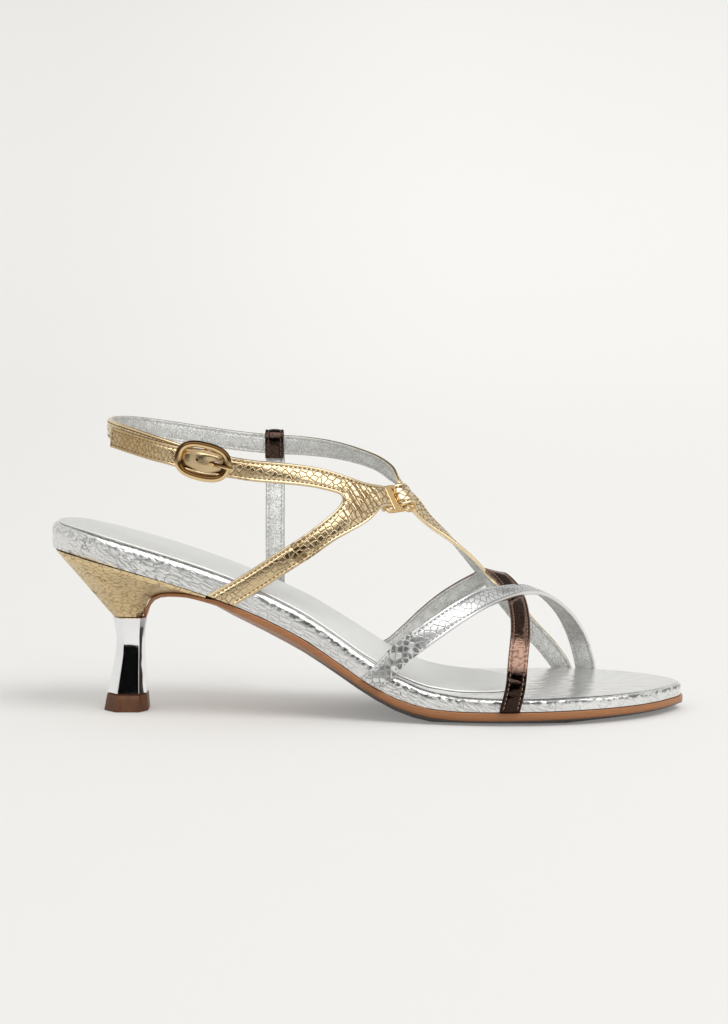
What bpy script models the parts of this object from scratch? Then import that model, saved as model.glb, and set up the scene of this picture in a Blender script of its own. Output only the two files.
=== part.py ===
"""Right-foot strappy sandal on a low heel: sole, footbed, heel, straps, link and buckle, in millimetres."""
import bmesh
import bpy
import numpy as np

MM = 0.001
LENGTH = 235.0
CLEARANCE = 0.3
STRAP_GAP = 0.5
LEATHER = 1.6
WELD = 0.02
WALL_DROP = 0.6
SEAM_REACH = 12.0
SEAM_HALVINGS = 40
STEP = 4.0

# Footbed: share of the length from the heel, half widths to the lateral and medial edge, height of the seam
# under the lateral edge, height of the side wall, and how much higher the medial edge lies.
FOOTBED_ROWS = [
    # along, lateral, medial, seam, wall, lift
    (0.00, 0.0, 0.0, 61.6, 9.4, 0.0),
    (0.02, 12.5, 12.5, 61.0, 9.5, 0.0),
    (0.05, 19.0, 19.0, 59.6, 9.6, 0.0),
    (0.10, 24.0, 24.0, 56.6, 9.5, 0.0),
    (0.15, 26.0, 25.8, 53.4, 9.3, 0.0),
    (0.20, 26.5, 26.0, 49.9, 9.2, 0.0),
    (0.30, 26.3, 24.5, 41.6, 9.0, 0.2),
    (0.40, 27.0, 22.3, 30.2, 8.8, 1.6),
    (0.45, 28.3, 21.8, 22.4, 8.9, 2.5),
    (0.50, 30.0, 22.0, 14.5, 8.6, 3.2),
    (0.55, 32.5, 23.5, 8.6, 7.4, 3.0),
    (0.60, 35.3, 27.0, 5.8, 6.0, 1.8),
    (0.65, 37.6, 31.5, 5.1, 5.1, 1.0),
    (0.70, 38.8, 35.6, 5.1, 4.7, 0.4),
    (0.75, 38.8, 38.0, 5.3, 4.5, 0.0),
    (0.80, 37.2, 38.5, 5.4, 4.5, 0.0),
    (0.85, 33.6, 36.8, 5.5, 4.5, 0.0),
    (0.90, 27.5, 32.0, 5.5, 4.5, 0.0),
    (0.95, 18.3, 23.5, 5.6, 4.5, 0.0),
    (0.98, 9.5, 15.0, 5.7, 4.5, 0.0),
    (1.00, -2.0, 2.0, 5.7, 4.5, 0.0),
]
FOOTBED_STATIONS = 45
RIM_RADIUS = 2.0
RIM_ANGLES = (0.0, 30.0, 60.0, 90.0)

# Sock lining: half widths of the smooth insole that covers the heel seat and the arch.
SOCK_ROWS = [
    # along, lateral, medial
    (0.011, 0.0, 0.0),
    (0.030, 13.0, 13.0),
    (0.060, 18.0, 18.0),
    (0.100, 21.8, 21.7),
    (0.150, 23.6, 23.3),
    (0.200, 24.0, 23.5),
    (0.300, 23.8, 22.0),
    (0.400, 24.4, 19.8),
    (0.500, 26.5, 19.5),
    (0.550, 26.5, 21.0),
    (0.600, 26.6, 24.0),
    (0.650, 26.2, 26.0),
    (0.690, 24.0, 24.0),
    (0.715, 20.0, 19.5),
    (0.732, 13.5, 14.0),
    (0.742, -2.0, 2.0),
]
SOCK_STATIONS = 33
SOCK_THICKNESS = 0.6
SOCK_GAP = 0.2

# Outsole: height of its upright edge, whole depth before the tread is cut flat, and width of its bevel.
OUTSOLE_ROWS = [
    # along, edge, depth, bevel
    (0.264, 1.6, 3.0, 6.0),
    (0.300, 2.2, 4.7, 8.0),
    (0.400, 2.4, 5.6, 8.0),
    (0.500, 2.6, 5.2, 7.0),
    (0.550, 2.9, 5.2, 6.5),
    (0.580, 3.0, 5.7, 7.0),
    (0.620, 3.1, 7.6, 7.0),
    (0.680, 3.0, 7.6, 7.0),
    (0.770, 2.8, 7.6, 7.0),
    (0.820, 2.6, 4.9, 6.0),
    (0.900, 2.3, 4.0, 5.0),
    (1.000, 2.0, 3.3, 4.0),
]
OUTSOLE_STATIONS = 36
OUTSOLE_PROUD = 0.8
OUTSOLE_TOE = 0.9995
FLAP_THICKNESS = 1.3
BEVEL_SHARE = 0.4

# Breast of the heel, from the neck up to the seat: its curve in profile, half its width at the front, and the
# share of the back line that each level has climbed.
BREAST_ROWS = [
    # x, z, half, climb
    (33.5, 35.5, 3.2, 0.00),
    (34.3, 38.6, 5.6, 0.10),
    (35.7, 41.2, 8.4, 0.22),
    (37.8, 43.7, 11.6, 0.36),
    (40.6, 45.3, 14.8, 0.50),
    (44.0, 46.1, 18.0, 0.64),
    (48.0, 46.4, 21.0, 0.78),
    (51.5, 46.4, 23.4, 0.90),
    (54.4, 46.0, 25.0, 0.955),
    (58.4, 45.1, 26.0, 0.985),
]
HEEL_BACK_LOW = (22.6, 35.5)
HEEL_BACK_HIGH = (1.2, 61.0)
HEEL_NECK_HALF = 6.1
HEEL_SEAT_HALF = 25.9
# One side of a heel level, from the middle of the back to the middle of the breast: share of the depth and
# share of the half width, at the rounded seat and at the eight-sided neck.
HEEL_SIDE = [
    # seat depth, seat width, neck depth, neck width
    (0.00, 0.00, 0.00, 0.00),
    (0.02, 0.36, 0.00, 0.20),
    (0.07, 0.60, 0.00, 0.40),
    (0.16, 0.80, 0.12, 0.70),
    (0.30, 0.94, 0.25, 1.00),
    (0.50, 1.00, 0.45, 1.00),
    (0.70, 1.00, 0.62, 1.00),
    (0.87, 1.00, 0.80, 1.00),
]

# Eight-sided stem and top lift: levels from the top, with their back, front and half width.
STEM_ROWS = [
    # z, back, front, half
    (35.2, 22.4, 35.2, 6.4),
    (31.0, 23.2, 34.6, 5.9),
    (27.0, 23.6, 34.3, 5.8),
    (22.0, 23.3, 34.3, 6.1),
    (15.0, 22.0, 34.5, 7.0),
    (6.6, 20.1, 35.0, 8.3),
]
LIFT_ROWS = [
    # z, back, front, half
    (6.3, 20.0, 35.1, 8.4),
    (0.0, 18.9, 35.5, 9.0),
]
OCTAGON = [
    # depth, width
    (0.00, -0.38),
    (0.27, -1.00),
    (0.82, -1.00),
    (1.00, -0.50),
    (1.00, 0.50),
    (0.82, 1.00),
    (0.27, 1.00),
    (0.00, 0.38),
]

# Last above the footbed: height and side of its crown, and how full its section is.
LAST_ROWS = [
    # along, crown, side, fullness
    (0.24, 118.0, 0.0, 2.4),
    (0.36, 114.0, 0.0, 2.4),
    (0.46, 103.0, 0.0, 2.3),
    (0.50, 94.5, 0.0, 2.2),
    (0.53, 86.5, 1.0, 2.2),
    (0.56, 79.0, 2.0, 2.2),
    (0.60, 70.2, 3.5, 2.2),
    (0.64, 61.8, 5.0, 2.2),
    (0.67, 54.6, 6.0, 2.2),
    (0.70, 47.7, 6.0, 2.2),
    (0.74, 44.9, 6.0, 2.2),
    (0.78, 41.4, 6.0, 2.2),
    (0.82, 36.6, 6.0, 2.2),
    (0.86, 31.0, 6.0, 2.1),
    (0.90, 25.0, 5.0, 2.0),
]

# Straps over the last: share of the length, turn over the foot from the lateral rim (0) to the medial rim
# (180), and lift off the last where one strap lies on another.
SILVER_ROWS = [
    # along, turn, lift
    (0.512, -9.1, 0.0),
    (0.527, 0.3, 0.0),
    (0.550, 6.8, 0.0),
    (0.581, 15.0, 0.0),
    (0.611, 23.6, 0.0),
    (0.641, 33.9, 0.1),
    (0.671, 47.5, 0.4),
    (0.704, 65.0, 0.6),
    (0.730, 74.5, 0.6),
    (0.760, 88.0, 0.5),
    (0.796, 109.0, 0.0),
    (0.831, 135.8, 0.0),
    (0.850, 159.0, 0.0),
    (0.859, 178.0, 0.0),
    (0.862, 185.0, 0.0),
]
BRONZE_ROWS = [
    # along, turn, lift
    (0.7195, -4.0, 0.0),
    (0.7256, 4.6, 0.0),
    (0.7305, 20.8, 0.0),
    (0.7355, 39.6, 0.0),
]
INSTEP_ROWS = [
    # along, turn, lift
    (0.825, 184.0, 0.0),
    (0.822, 180.9, 0.0),
    (0.802, 168.9, 0.0),
    (0.768, 154.1, 0.0),
    (0.728, 133.0, 0.0),
]
BRONZE_END_ROWS = [
    # along, turn, lift
    (0.538, 181.4, 0.0),
    (0.525, 187.0, 0.0),
]
POST_ROWS = [
    # along, turn, lift
    (0.349, 190.0, 0.0),
    (0.349, 181.0, 0.0),
    (0.349, 174.9, 0.0),
]
QUARTER_LOW_ROWS = [
    # along, turn, lift
    (0.279, -12.2, 0.0),
    (0.318, 0.8, 0.0),
    (0.364, 8.4, 0.0),
    (0.411, 18.4, 0.0),
    (0.436, 25.5, 0.0),
]

# Straps round the ankle: points of the inner face, and the compass direction (0 to the toe, 90 to the medial
# side) and rise of the way that face looks out.
BRONZE_TOP_ROWS = [
    # x, y, z, compass, rise
    (172.7, -18.5, 39.9, -80.0, 62.0),
    (171.8, -8.5, 43.2, -80.0, 68.0),
    (169.9, 0.0, 46.2, -70.0, 70.0),
    (166.2, 7.0, 49.2, 0.0, 85.0),
    (163.4, 13.0, 49.2, 60.0, 62.0),
    (159.6, 18.4, 46.0, 75.0, 42.0),
    (154.2, 21.4, 42.6, 85.0, 30.0),
    (147.2, 23.4, 37.8, 94.0, 20.0),
    (139.8, 24.7, 31.5, 100.0, 9.0),
    (132.5, 24.4, 24.6, 101.0, 3.0),
]
RIDGE_ROWS = [
    # x, y, z, compass, rise
    (162.2, 12.0, 47.1, 31.0, 55.0),
    (158.5, 10.9, 51.5, 30.0, 46.0),
    (154.6, 9.9, 56.0, 22.0, 44.0),
    (146.7, 7.6, 63.9, -5.0, 42.0),
    (139.8, 5.6, 70.0, -23.0, 34.0),
]
ANKLE_ROWS = [
    # x, y, z, compass, rise, half
    (134.2, 3.4, 76.8, -37.0, 27.0, 3.75),
    (129.8, 6.0, 83.0, -4.0, 40.0, 3.6),
    (125.8, 11.0, 87.5, 42.0, 22.0, 3.4),
    (121.0, 15.6, 90.7, 52.0, 20.0, 3.25),
    (114.6, 19.8, 93.0, 58.0, 18.0, 3.25),
    (103.1, 25.4, 95.6, 66.0, 10.0, 3.5),
    (91.6, 29.4, 96.8, 77.0, 4.0, 3.7),
    (81.2, 31.0, 97.3, 86.0, 0.0, 3.75),
    (68.6, 31.2, 98.5, 92.0, 0.0, 3.75),
    (53.3, 30.0, 100.8, 99.0, 0.0, 3.75),
    (38.2, 26.0, 103.4, 114.0, 0.0, 3.75),
    (28.6, 18.0, 105.1, 138.0, 0.0, 3.75),
    (23.8, 8.5, 105.7, 160.0, 0.0, 3.75),
    (22.5, 0.0, 105.7, 180.0, 0.0, 3.75),
    (23.9, -8.5, 105.4, 201.0, 0.0, 3.75),
    (31.2, -20.0, 103.6, 231.0, 0.0, 3.75),
    (42.3, -27.0, 100.3, 252.0, 0.0, 3.75),
    (53.3, -30.0, 96.9, 265.0, 0.0, 3.75),
    (58.4, -30.4, 95.6, 267.0, 0.0, 3.75),
]
QUARTER_HIGH_ROWS = [
    # x, y, z, compass, rise, half
    (24.4, -14.9, 103.2, 217.0, 0.0, 3.85),
    (29.9, -21.6, 102.0, 231.0, 0.0, 3.85),
    (41.6, -28.9, 99.0, 252.0, 0.0, 3.85),
    (49.6, -31.6, 97.1, 264.0, 0.0, 3.85),
    (51.6, -31.9, 96.5, 266.0, 0.0, 3.9),
    (55.6, -33.1, 95.9, 267.0, 0.0, 4.15),
    (58.8, -34.2, 95.3, 268.0, 0.0, 4.3),
    (62.0, -33.3, 94.7, 268.0, 0.0, 4.1),
    (66.0, -32.4, 93.8, 268.0, 0.0, 3.85),
    (68.0, -32.2, 93.4, 269.0, 0.0, 3.85),
    (76.0, -31.2, 92.0, 272.0, 4.0, 3.85),
    (86.0, -29.3, 90.9, 277.0, 9.0, 3.85),
    (98.0, -25.6, 89.0, 284.0, 18.0, 3.85),
    (108.0, -21.8, 85.9, 293.0, 25.0, 3.85),
    (115.6, -18.2, 82.9, 303.0, 31.0, 3.85),
]
POST_LOOP_ROWS = [
    # x, y, z, compass, rise
    (82.0, 27.0, 68.8, 88.0, -6.0),
    (82.0, 30.2, 82.0, 88.0, -6.0),
    (82.0, 31.9, 91.5, 88.0, -3.0),
    (81.8, 32.1, 100.9, 88.0, 0.0),
    (81.8, 32.0, 101.25, 88.0, 45.0),
    (81.8, 31.8, 101.4, 88.0, 90.0),
    (81.8, 31.6, 101.25, 88.0, 135.0),
    (81.8, 31.5, 100.9, 88.0, 180.0),
    (81.8, 31.4, 92.0, 88.0, 180.0),
]

# Half widths of the straps, of their ends in the link to the left and right, and the tab's thinner leather.
GOLD_HALF = 3.75
SILVER_HALF = 4.0
BRONZE_HALF = 3.65
POST_HALF = 3.6
QUARTER_LOW_HALF = 4.1
TAB_HALF = 3.2
TAB_LEATHER = 1.1
TAB_SINK = 0.25
LOOP_HALVES = (2.9, 3.3)
TAB_LOOP_HALVES = (3.2, 2.85)
QUARTER_FORK = 5
FORK_STEPS = (0.25, 0.5, 0.75)
FORK_ROUNDING = np.array([[0.9], [0.4], [-0.2], [-0.9], [-1.9]])
FORK_LEAVE = np.array([[1.0], [1.0], [0.9], [0.8], [0.7]])

# Link: two loops joined by a flat bar, with an eye at the lower front corner, lying on the instep between the
# quarter strap and the instep strap.
LINK_CENTRE = (126.1, -6.5, 80.3)
LINK_ALONG = (0.73, 0.68, 0.04)
LINK_RISE = (0.35, -0.33, -0.73)
LINK_WIRE = 0.75
LINK_HALF_LONG = 4.85
LINK_HALF_WIDE = 4.9
LINK_DROP = 0.9
LINK_FULLNESS = 6.0
ROUND = 2.0
LINK_BAR_HALF = 1.5
LINK_BAR_DEPTH = 0.65
EYE_PLACE = (6.1, 5.3)
EYE_HALVES = (1.9, 1.2)
EYE_WIRE = 0.65
CURL_ANGLES = (0.0, 40.0, 80.0, 120.0, 160.0, 195.0)

# Buckle: oval frame, a bar that dips below it, and a prong on the front of the frame.
BUCKLE_CENTRE = (58.4, -30.4, 95.8)
BUCKLE_ALONG = (0.972, -0.03, -0.232)
BUCKLE_OUT = (-0.035, -1.0, -0.017)
BUCKLE_HALF_LONG = 9.05
BUCKLE_HALF_WIDE = 5.85
BUCKLE_FULLNESS = 2.6
BUCKLE_WIRE = 1.25
BUCKLE_LIFT = 5.2
BAR_WIRE = 0.7
BAR_LIFT = 2.75
BAR_STRAIGHT = 4.8
PRONG_WIRE = 0.75
PRONG_ROWS = [
    # along, lift
    (1.15, 2.75),
    (3.2, 3.6),
    (5.4, 5.7),
    (7.2, 6.9),
    (9.2, 7.3),
    (11.2, 7.1),
]
PRONG_SLOT = (1.2, 7.3, 1.05)
WIRE_SIDES = 8
RING_TURNS = 32

COLOURS = [
    # name, colour, metal, roughness
    ("tan_sole", (0.42, 0.20, 0.09), 0.0, 0.5),
    ("silver_leather", (0.62, 0.62, 0.61), 0.7, 0.4),
    ("silver_lining", (0.68, 0.67, 0.66), 0.3, 0.55),
    ("gold_heel_leather", (0.72, 0.60, 0.40), 0.7, 0.4),
    ("chrome", (0.75, 0.75, 0.76), 1.0, 0.08),
    ("brown_lift", (0.22, 0.10, 0.05), 0.0, 0.5),
    ("strap_leather", (0.66, 0.55, 0.38), 0.7, 0.4),
    ("quarter_leather", (0.70, 0.58, 0.40), 0.7, 0.4),
    ("gold_metal", (0.85, 0.62, 0.25), 1.0, 0.15),
    ("prong_metal", (0.85, 0.62, 0.25), 1.0, 0.15),
    ("link_metal", (0.85, 0.62, 0.25), 1.0, 0.15),
]


def curve(places, values):
    """Smooth curve through the values that never swings past them."""
    places = np.asarray(places, float)
    values = np.asarray(values, float)
    gaps = np.diff(places)
    slopes = np.diff(values) / gaps
    tangents = np.concatenate(([slopes[0]], np.zeros(len(slopes) - 1), [slopes[-1]]))
    for i in range(1, len(slopes)):
        if slopes[i - 1] * slopes[i] > 0:
            before = 2 * gaps[i] + gaps[i - 1]
            after = gaps[i] + 2 * gaps[i - 1]
            tangents[i] = (before + after) / (before / slopes[i - 1] + after / slopes[i])

    def value(place):
        place = np.clip(np.asarray(place, float), places[0], places[-1])
        k = np.clip(np.searchsorted(places, place) - 1, 0, len(gaps) - 1)
        t = (place - places[k]) / gaps[k]
        start = (1 + 2 * t) * (1 - t) ** 2 * values[k] + t * (1 - t) ** 2 * gaps[k] * tangents[k]
        end = t * t * (3 - 2 * t) * values[k + 1] + t * t * (t - 1) * gaps[k] * tangents[k + 1]
        return start + end

    return value


def swing(along):
    """Angle that runs evenly round an outline, so that its ends come out round."""
    return np.arccos(1 - 2 * np.clip(along, 0.0, 1.0))


def columns(rows):
    return np.array(rows, float).T


def unit(vector):
    vector = np.asarray(vector, float)
    return vector / np.linalg.norm(vector, axis=-1, keepdims=True)


FOOTBED = columns(FOOTBED_ROWS)
LATERAL = curve(swing(FOOTBED[0]), FOOTBED[1])
MEDIAL = curve(swing(FOOTBED[0]), FOOTBED[2])
SEAM, WALL, ARCH = (curve(FOOTBED[0], FOOTBED[k]) for k in (3, 4, 5))
LAST = columns(LAST_ROWS)
CROWN, CROWN_SIDE, FULLNESS = (curve(LAST[0], LAST[k]) for k in (1, 2, 3))


def lateral(along):
    return float(LATERAL(swing(along)))


def medial(along):
    return float(MEDIAL(swing(along)))


def underside(along, side):
    """Height of the seam under the footbed."""
    across = (side + lateral(along)) / max(lateral(along) + medial(along), 1.0)
    return float(SEAM(along) + ARCH(along) * np.clip(across, 0.0, 1.0))


def topside(along, side):
    """Height of the footbed's top."""
    return underside(along, side) + float(WALL(along))


def last_point(along, turn):
    """Point of the last's skin; beyond its rims it runs straight down the footbed's wall."""
    side = float(CROWN_SIDE(along))
    if turn <= 90.0:
        sign, angle, reach = -1.0, turn, lateral(along) + STRAP_GAP + side
        base = topside(along, -lateral(along))
    else:
        sign, angle, reach = 1.0, 180.0 - turn, medial(along) + STRAP_GAP - side
        base = topside(along, medial(along))
    if angle < 0.0:
        return np.array([along * LENGTH, side + sign * reach, base + angle * WALL_DROP])
    power = 2.0 / float(FULLNESS(along))
    wide = abs(np.cos(np.radians(angle))) ** power
    high = np.sin(np.radians(angle)) ** power
    return np.array([along * LENGTH, side + sign * reach * wide, base + (float(CROWN(along)) - base) * high])


def last_facing(along, turn, reach=0.002, swivel=0.5):
    forward = last_point(along + reach, turn) - last_point(along - reach, turn)
    over = last_point(along, turn + swivel) - last_point(along, turn - swivel)
    return unit(np.cross(forward, over))


def last_rows(rows, half, leather=LEATHER):
    """Strap rows on the last: point, facing, half widths to the left and right, thickness."""
    made = []
    for along, turn, lift in rows:
        facing = last_facing(along, turn)
        made.append(np.concatenate((last_point(along, turn) + facing * lift, facing, (half, half, leather))))
    return made


def free_rows(rows, half, leather=LEATHER):
    """Strap rows in the open, from points and the way their outer face looks."""
    made = []
    for x, y, z, compass, rise in rows:
        bearing, tilt = np.radians(compass), np.radians(rise)
        facing = (np.cos(tilt) * np.cos(bearing), np.cos(tilt) * np.sin(bearing), np.sin(tilt))
        made.append(np.concatenate(((x, y, z), facing, (half, half, leather))))
    return made


def smooth_rows(rows, step=STEP):
    """Rows filled in along a smooth path, about one step apart."""
    rows = np.array(rows)
    spans = np.linalg.norm(np.diff(rows[:, :3], axis=0), axis=1)
    places = np.concatenate(([0.0], np.cumsum(spans)))
    tangents = np.gradient(rows, places, axis=0)
    filled = [rows[0]]
    for k, span in enumerate(spans):
        count = max(1, int(round(span / step)))
        for i in range(1, count + 1):
            t = i / count
            start = (1 + 2 * t) * (1 - t) ** 2 * rows[k] + t * (1 - t) ** 2 * span * tangents[k]
            end = t * t * (3 - 2 * t) * rows[k + 1] + t * t * (t - 1) * span * tangents[k + 1]
            filled.append(start + end)
    return np.array(filled)


def ribbon(rows):
    """Left and right edges of a strap's inner face, and the thickness of leather that stands on them."""
    points = rows[:, :3]
    tangents = unit(np.gradient(points, axis=0))
    facing = rows[:, 3:6]
    facing = unit(facing - tangents * np.sum(facing * tangents, axis=1, keepdims=True))
    across = np.cross(facing, tangents)
    left = points + across * rows[:, 6:7]
    right = points - across * rows[:, 7:8]
    return left, right, facing * rows[:, 8:9]


def run_to_seam(edge, inner):
    """Slide the end of a strap's edge down its own line until it meets the seam."""
    direction = unit(edge - inner)
    low, high = -SEAM_REACH, SEAM_REACH
    for _ in range(SEAM_HALVINGS):
        middle = (low + high) / 2
        point = edge + direction * middle
        above = point[2] > underside(point[0] / LENGTH, point[1]) + CLEARANCE
        low, high = (middle, high) if above else (low, middle)
    return edge + direction * low


def sheet(index):
    """Faces of a grid of point numbers."""
    rows, count = index.shape
    faces = []
    for i in range(rows - 1):
        for j in range(count - 1):
            faces.append((index[i, j], index[i, j + 1], index[i + 1, j + 1], index[i + 1, j]))
    return faces


def wall(first, second):
    """Faces between two lines of point numbers."""
    return sheet(np.stack((first, second), axis=1))


def closed_grid(inner, outer):
    """Closed skin between two grids of points."""
    rows, count = inner.shape[:2]
    low = np.arange(rows * count).reshape(rows, count)
    high = low + rows * count
    faces = sheet(low) + sheet(high)
    for side in (np.s_[0, :], np.s_[-1, :], np.s_[:, 0], np.s_[:, -1]):
        faces += wall(low[side], high[side])
    return np.concatenate((inner.reshape(-1, 3), outer.reshape(-1, 3))), faces


def strap_skin(rows, seam_start=False, seam_end=False):
    left, right, leather = ribbon(rows)
    for edge in (left, right):
        if seam_start:
            edge[0] = run_to_seam(edge[0], edge[1])
        if seam_end:
            edge[-1] = run_to_seam(edge[-1], edge[-2])
    inner = np.stack((left, right), axis=1)
    return closed_grid(inner, inner + leather[:, None, :])


def lofted(loops):
    """Closed skin through loops of equal count, with a flat face on each end."""
    count = len(loops[0])
    faces = [tuple(range(count)), tuple((len(loops) - 1) * count + j for j in range(count))]
    for i in range(len(loops) - 1):
        for j in range(count):
            a, b = i * count + j, i * count + (j + 1) % count
            faces.append((a, b, b + count, a + count))
    return np.concatenate([np.asarray(loop, float) for loop in loops]), faces


def paired_cap(count, start):
    """Faces ruled from side to side across a ring of points whose first and middle points are its ends."""
    half = count // 2
    faces = [(start, start + 1, start + count - 1), (start + half - 1, start + half, start + half + 1)]
    for i in range(1, half - 1):
        faces.append((start + i, start + i + 1, start + count - i - 1, start + count - i))
    return faces


def ring_stack(rings):
    """Closed skin through rings of points, with crosswise caps."""
    count = len(rings[0])
    faces = paired_cap(count, 0) + paired_cap(count, (len(rings) - 1) * count)
    for i in range(len(rings) - 1):
        for j in range(count):
            a, b = i * count + j, i * count + (j + 1) % count
            faces.append((a, b, b + count, a + count))
    return np.concatenate(rings), faces


def outline(lateral_of, medial_of, first, last, stations):
    """Plan outline, from the heel along the lateral side to the toe and back along the medial side."""
    angles = np.linspace(swing(first), swing(last), stations)
    along = (1 - np.cos(angles)) / 2
    near = np.stack((along * LENGTH, -lateral_of(angles)), axis=1)
    far = np.stack((along * LENGTH, medial_of(angles)), axis=1)
    return np.concatenate((near, far[-2:0:-1]))


def inset(points, distance):
    """Plan outline moved in by a distance (out, where it is negative)."""
    tangents = unit(np.roll(points, -1, axis=0) - np.roll(points, 1, axis=0))
    return points + distance * np.stack((-tangents[:, 1], tangents[:, 0]), axis=1)


def raised(points, height_of, offset=0.0):
    heights = [height_of(x / LENGTH, y) + offset for x, y in points]
    return np.column_stack((points, heights))


def footbed_skin():
    plan = outline(LATERAL, MEDIAL, 0.0, 1.0, FOOTBED_STATIONS)
    rings = [raised(plan, underside)]
    for angle in np.radians(RIM_ANGLES):
        moved = inset(plan, RIM_RADIUS * (1 - np.cos(angle)))
        rings.append(raised(moved, topside, -RIM_RADIUS * (1 - np.sin(angle))))
    return ring_stack(rings)


def sock_skin():
    along, near, far = columns(SOCK_ROWS)
    first, last = along[0], along[-1]
    share = swing((along - first) / (last - first))
    angles = np.linspace(0.0, np.pi, SOCK_STATIONS)
    places = (first + (last - first) * (1 - np.cos(angles)) / 2) * LENGTH
    lower = np.stack((places, -curve(share, near)(angles)), axis=1)
    upper = np.stack((places, curve(share, far)(angles)), axis=1)
    plan = np.concatenate((lower, upper[-2:0:-1]))
    return ring_stack([raised(plan, topside, SOCK_GAP), raised(plan, topside, SOCK_GAP + SOCK_THICKNESS)])


def outsole_loop(along, near, far, edge, depth, bevel):
    """Section of the outsole: flat top, upright edges, bevels, and a tread that never goes below the floor."""
    x_near, y_near = near
    x_far, y_far = far
    bevel = min(bevel, BEVEL_SHARE * (y_far - y_near))
    top_near = underside(along, y_near) - CLEARANCE
    top_far = underside(along, y_far) - CLEARANCE
    return [
        (x_near, y_near, top_near),
        (x_near, y_near, top_near - edge),
        (x_near, y_near + bevel, max(0.0, top_near - depth)),
        (x_far, y_far - bevel, max(0.0, top_far - depth)),
        (x_far, y_far, top_far - edge),
        (x_far, y_far, top_far),
    ]


def flap_loop(point, normal, half):
    """Section of the thin flap that runs from the outsole down the breast of the heel."""
    x, z = np.asarray(point) + normal * CLEARANCE
    x_out, z_out = np.asarray(point) + normal * (CLEARANCE + FLAP_THICKNESS)
    x_mid, z_mid = (x + x_out) / 2, (z + z_out) / 2
    return [
        (x, -half, z),
        (x_mid, -half, z_mid),
        (x_out, -half, z_out),
        (x_out, half, z_out),
        (x_mid, half, z_mid),
        (x, half, z),
    ]


def outsole_skin():
    rows = columns(OUTSOLE_ROWS)
    edge, depth, bevel = (curve(rows[0], rows[k]) for k in (1, 2, 3))
    plan = outline(LATERAL, MEDIAL, rows[0][0], OUTSOLE_TOE, OUTSOLE_STATIONS)
    plan_out = inset(plan, -OUTSOLE_PROUD)
    plan_out[0] = (plan[0][0], plan[0][1] - OUTSOLE_PROUD)
    loops = []
    for i in range(OUTSOLE_STATIONS - 1, -1, -1):
        along = plan[i][0] / LENGTH
        near = plan_out[i]
        far = plan_out[len(plan) - i] if 0 < i < OUTSOLE_STATIONS - 1 else None
        if far is None:
            far = (near[0], medial(along) + OUTSOLE_PROUD)
        loops.append(outsole_loop(along, near, far, float(edge(along)), float(depth(along)), float(bevel(along))))
    x, z, half, _ = columns(BREAST_ROWS)
    path = np.stack((x, z), axis=1)
    tangents = unit(np.gradient(path, axis=0))
    tangents[0] = (0.0, 1.0)
    for k in range(len(path) - 1, -1, -1):
        loops.append(flap_loop(path[k], np.array((tangents[k][1], -tangents[k][0])), half[k]))
    return lofted(loops)


def heel_ring(front, half, climb, seated):
    """One level of the heel block, from the middle of its back round the lateral side to the breast and back."""
    back = np.asarray(HEEL_BACK_LOW) + climb * (np.asarray(HEEL_BACK_HIGH) - np.asarray(HEEL_BACK_LOW))
    widest = HEEL_NECK_HALF + climb * (HEEL_SEAT_HALF - HEEL_NECK_HALF)
    sides = [(a + (c - a) * (1 - climb), (b + (d - b) * (1 - climb)) * widest) for a, b, c, d in HEEL_SIDE]
    sides += [(1.0, half), (1.0, half / 2), (1.0, 0.0)]
    near = []
    for depth, width in sides:
        x, z = back + depth * (np.asarray(front) - back)
        near.append((x, -width, underside(x / LENGTH, -width) - CLEARANCE if seated else z))
    return np.array(near + [(x, -y, z) for x, y, z in near[-2:0:-1]])


def heel_skin():
    rings = [heel_ring((x, z), half, climb, False) for x, z, half, climb in BREAST_ROWS]
    x, z, half, _ = BREAST_ROWS[-1]
    rings.append(heel_ring((x, z), half, 1.0, True))
    return ring_stack(rings)


def octagon_skin(rows):
    loops = []
    for z, back, front, half in rows:
        loops.append([(back + depth * (front - back), width * half, z) for depth, width in OCTAGON])
    return lofted(loops)


def curl_rows(axis, heading, facing, radius, halves, leather):
    """Rows of a strap's end that wraps round a bar: over it, past its front and back underneath."""
    rows = []
    for angle in np.radians(CURL_ANGLES):
        out = facing * np.cos(angle) + heading * np.sin(angle)
        rows.append(np.concatenate((axis + out * radius, out, halves, (leather,))))
    return rows


def link_axes():
    along = unit(LINK_ALONG)
    rise = np.asarray(LINK_RISE, float)
    rise = unit(rise - along * np.dot(rise, along))
    return np.asarray(LINK_CENTRE), along, rise, np.cross(rise, along)


def wire_skin(path, sections, closed):
    """Round wire along a path; each section gives the wire's two radii and the axes they lie on."""
    loops = []
    turns = np.linspace(0.0, 2 * np.pi, WIRE_SIDES, endpoint=False)
    for point, (first, second) in zip(path, sections):
        loops.append([point + first * np.cos(turn) + second * np.sin(turn) for turn in turns])
    points, faces = lofted(loops)
    if closed:
        faces = faces[2:]
        last = (len(loops) - 1) * WIRE_SIDES
        for j in range(WIRE_SIDES):
            k = (j + 1) % WIRE_SIDES
            faces.append((last + j, last + k, k, j))
    return points, faces


def ring_wire(centre, first, second, outward, half_first, half_second, fullness, radius):
    """Closed oval wire lying in the plane of two axes."""
    turns = np.linspace(0.0, 2 * np.pi, RING_TURNS, endpoint=False)
    power = 2.0 / fullness
    wide = half_first * np.sign(np.cos(turns)) * np.abs(np.cos(turns)) ** power
    high = half_second * np.sign(np.sin(turns)) * np.abs(np.sin(turns)) ** power
    path = centre + np.outer(wide, first) + np.outer(high, second)
    tangents = unit(np.roll(path, -1, axis=0) - np.roll(path, 1, axis=0))
    sections = [(np.cross(tangent, outward) * radius, outward * radius) for tangent in tangents]
    return wire_skin(path, sections, True)


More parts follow.
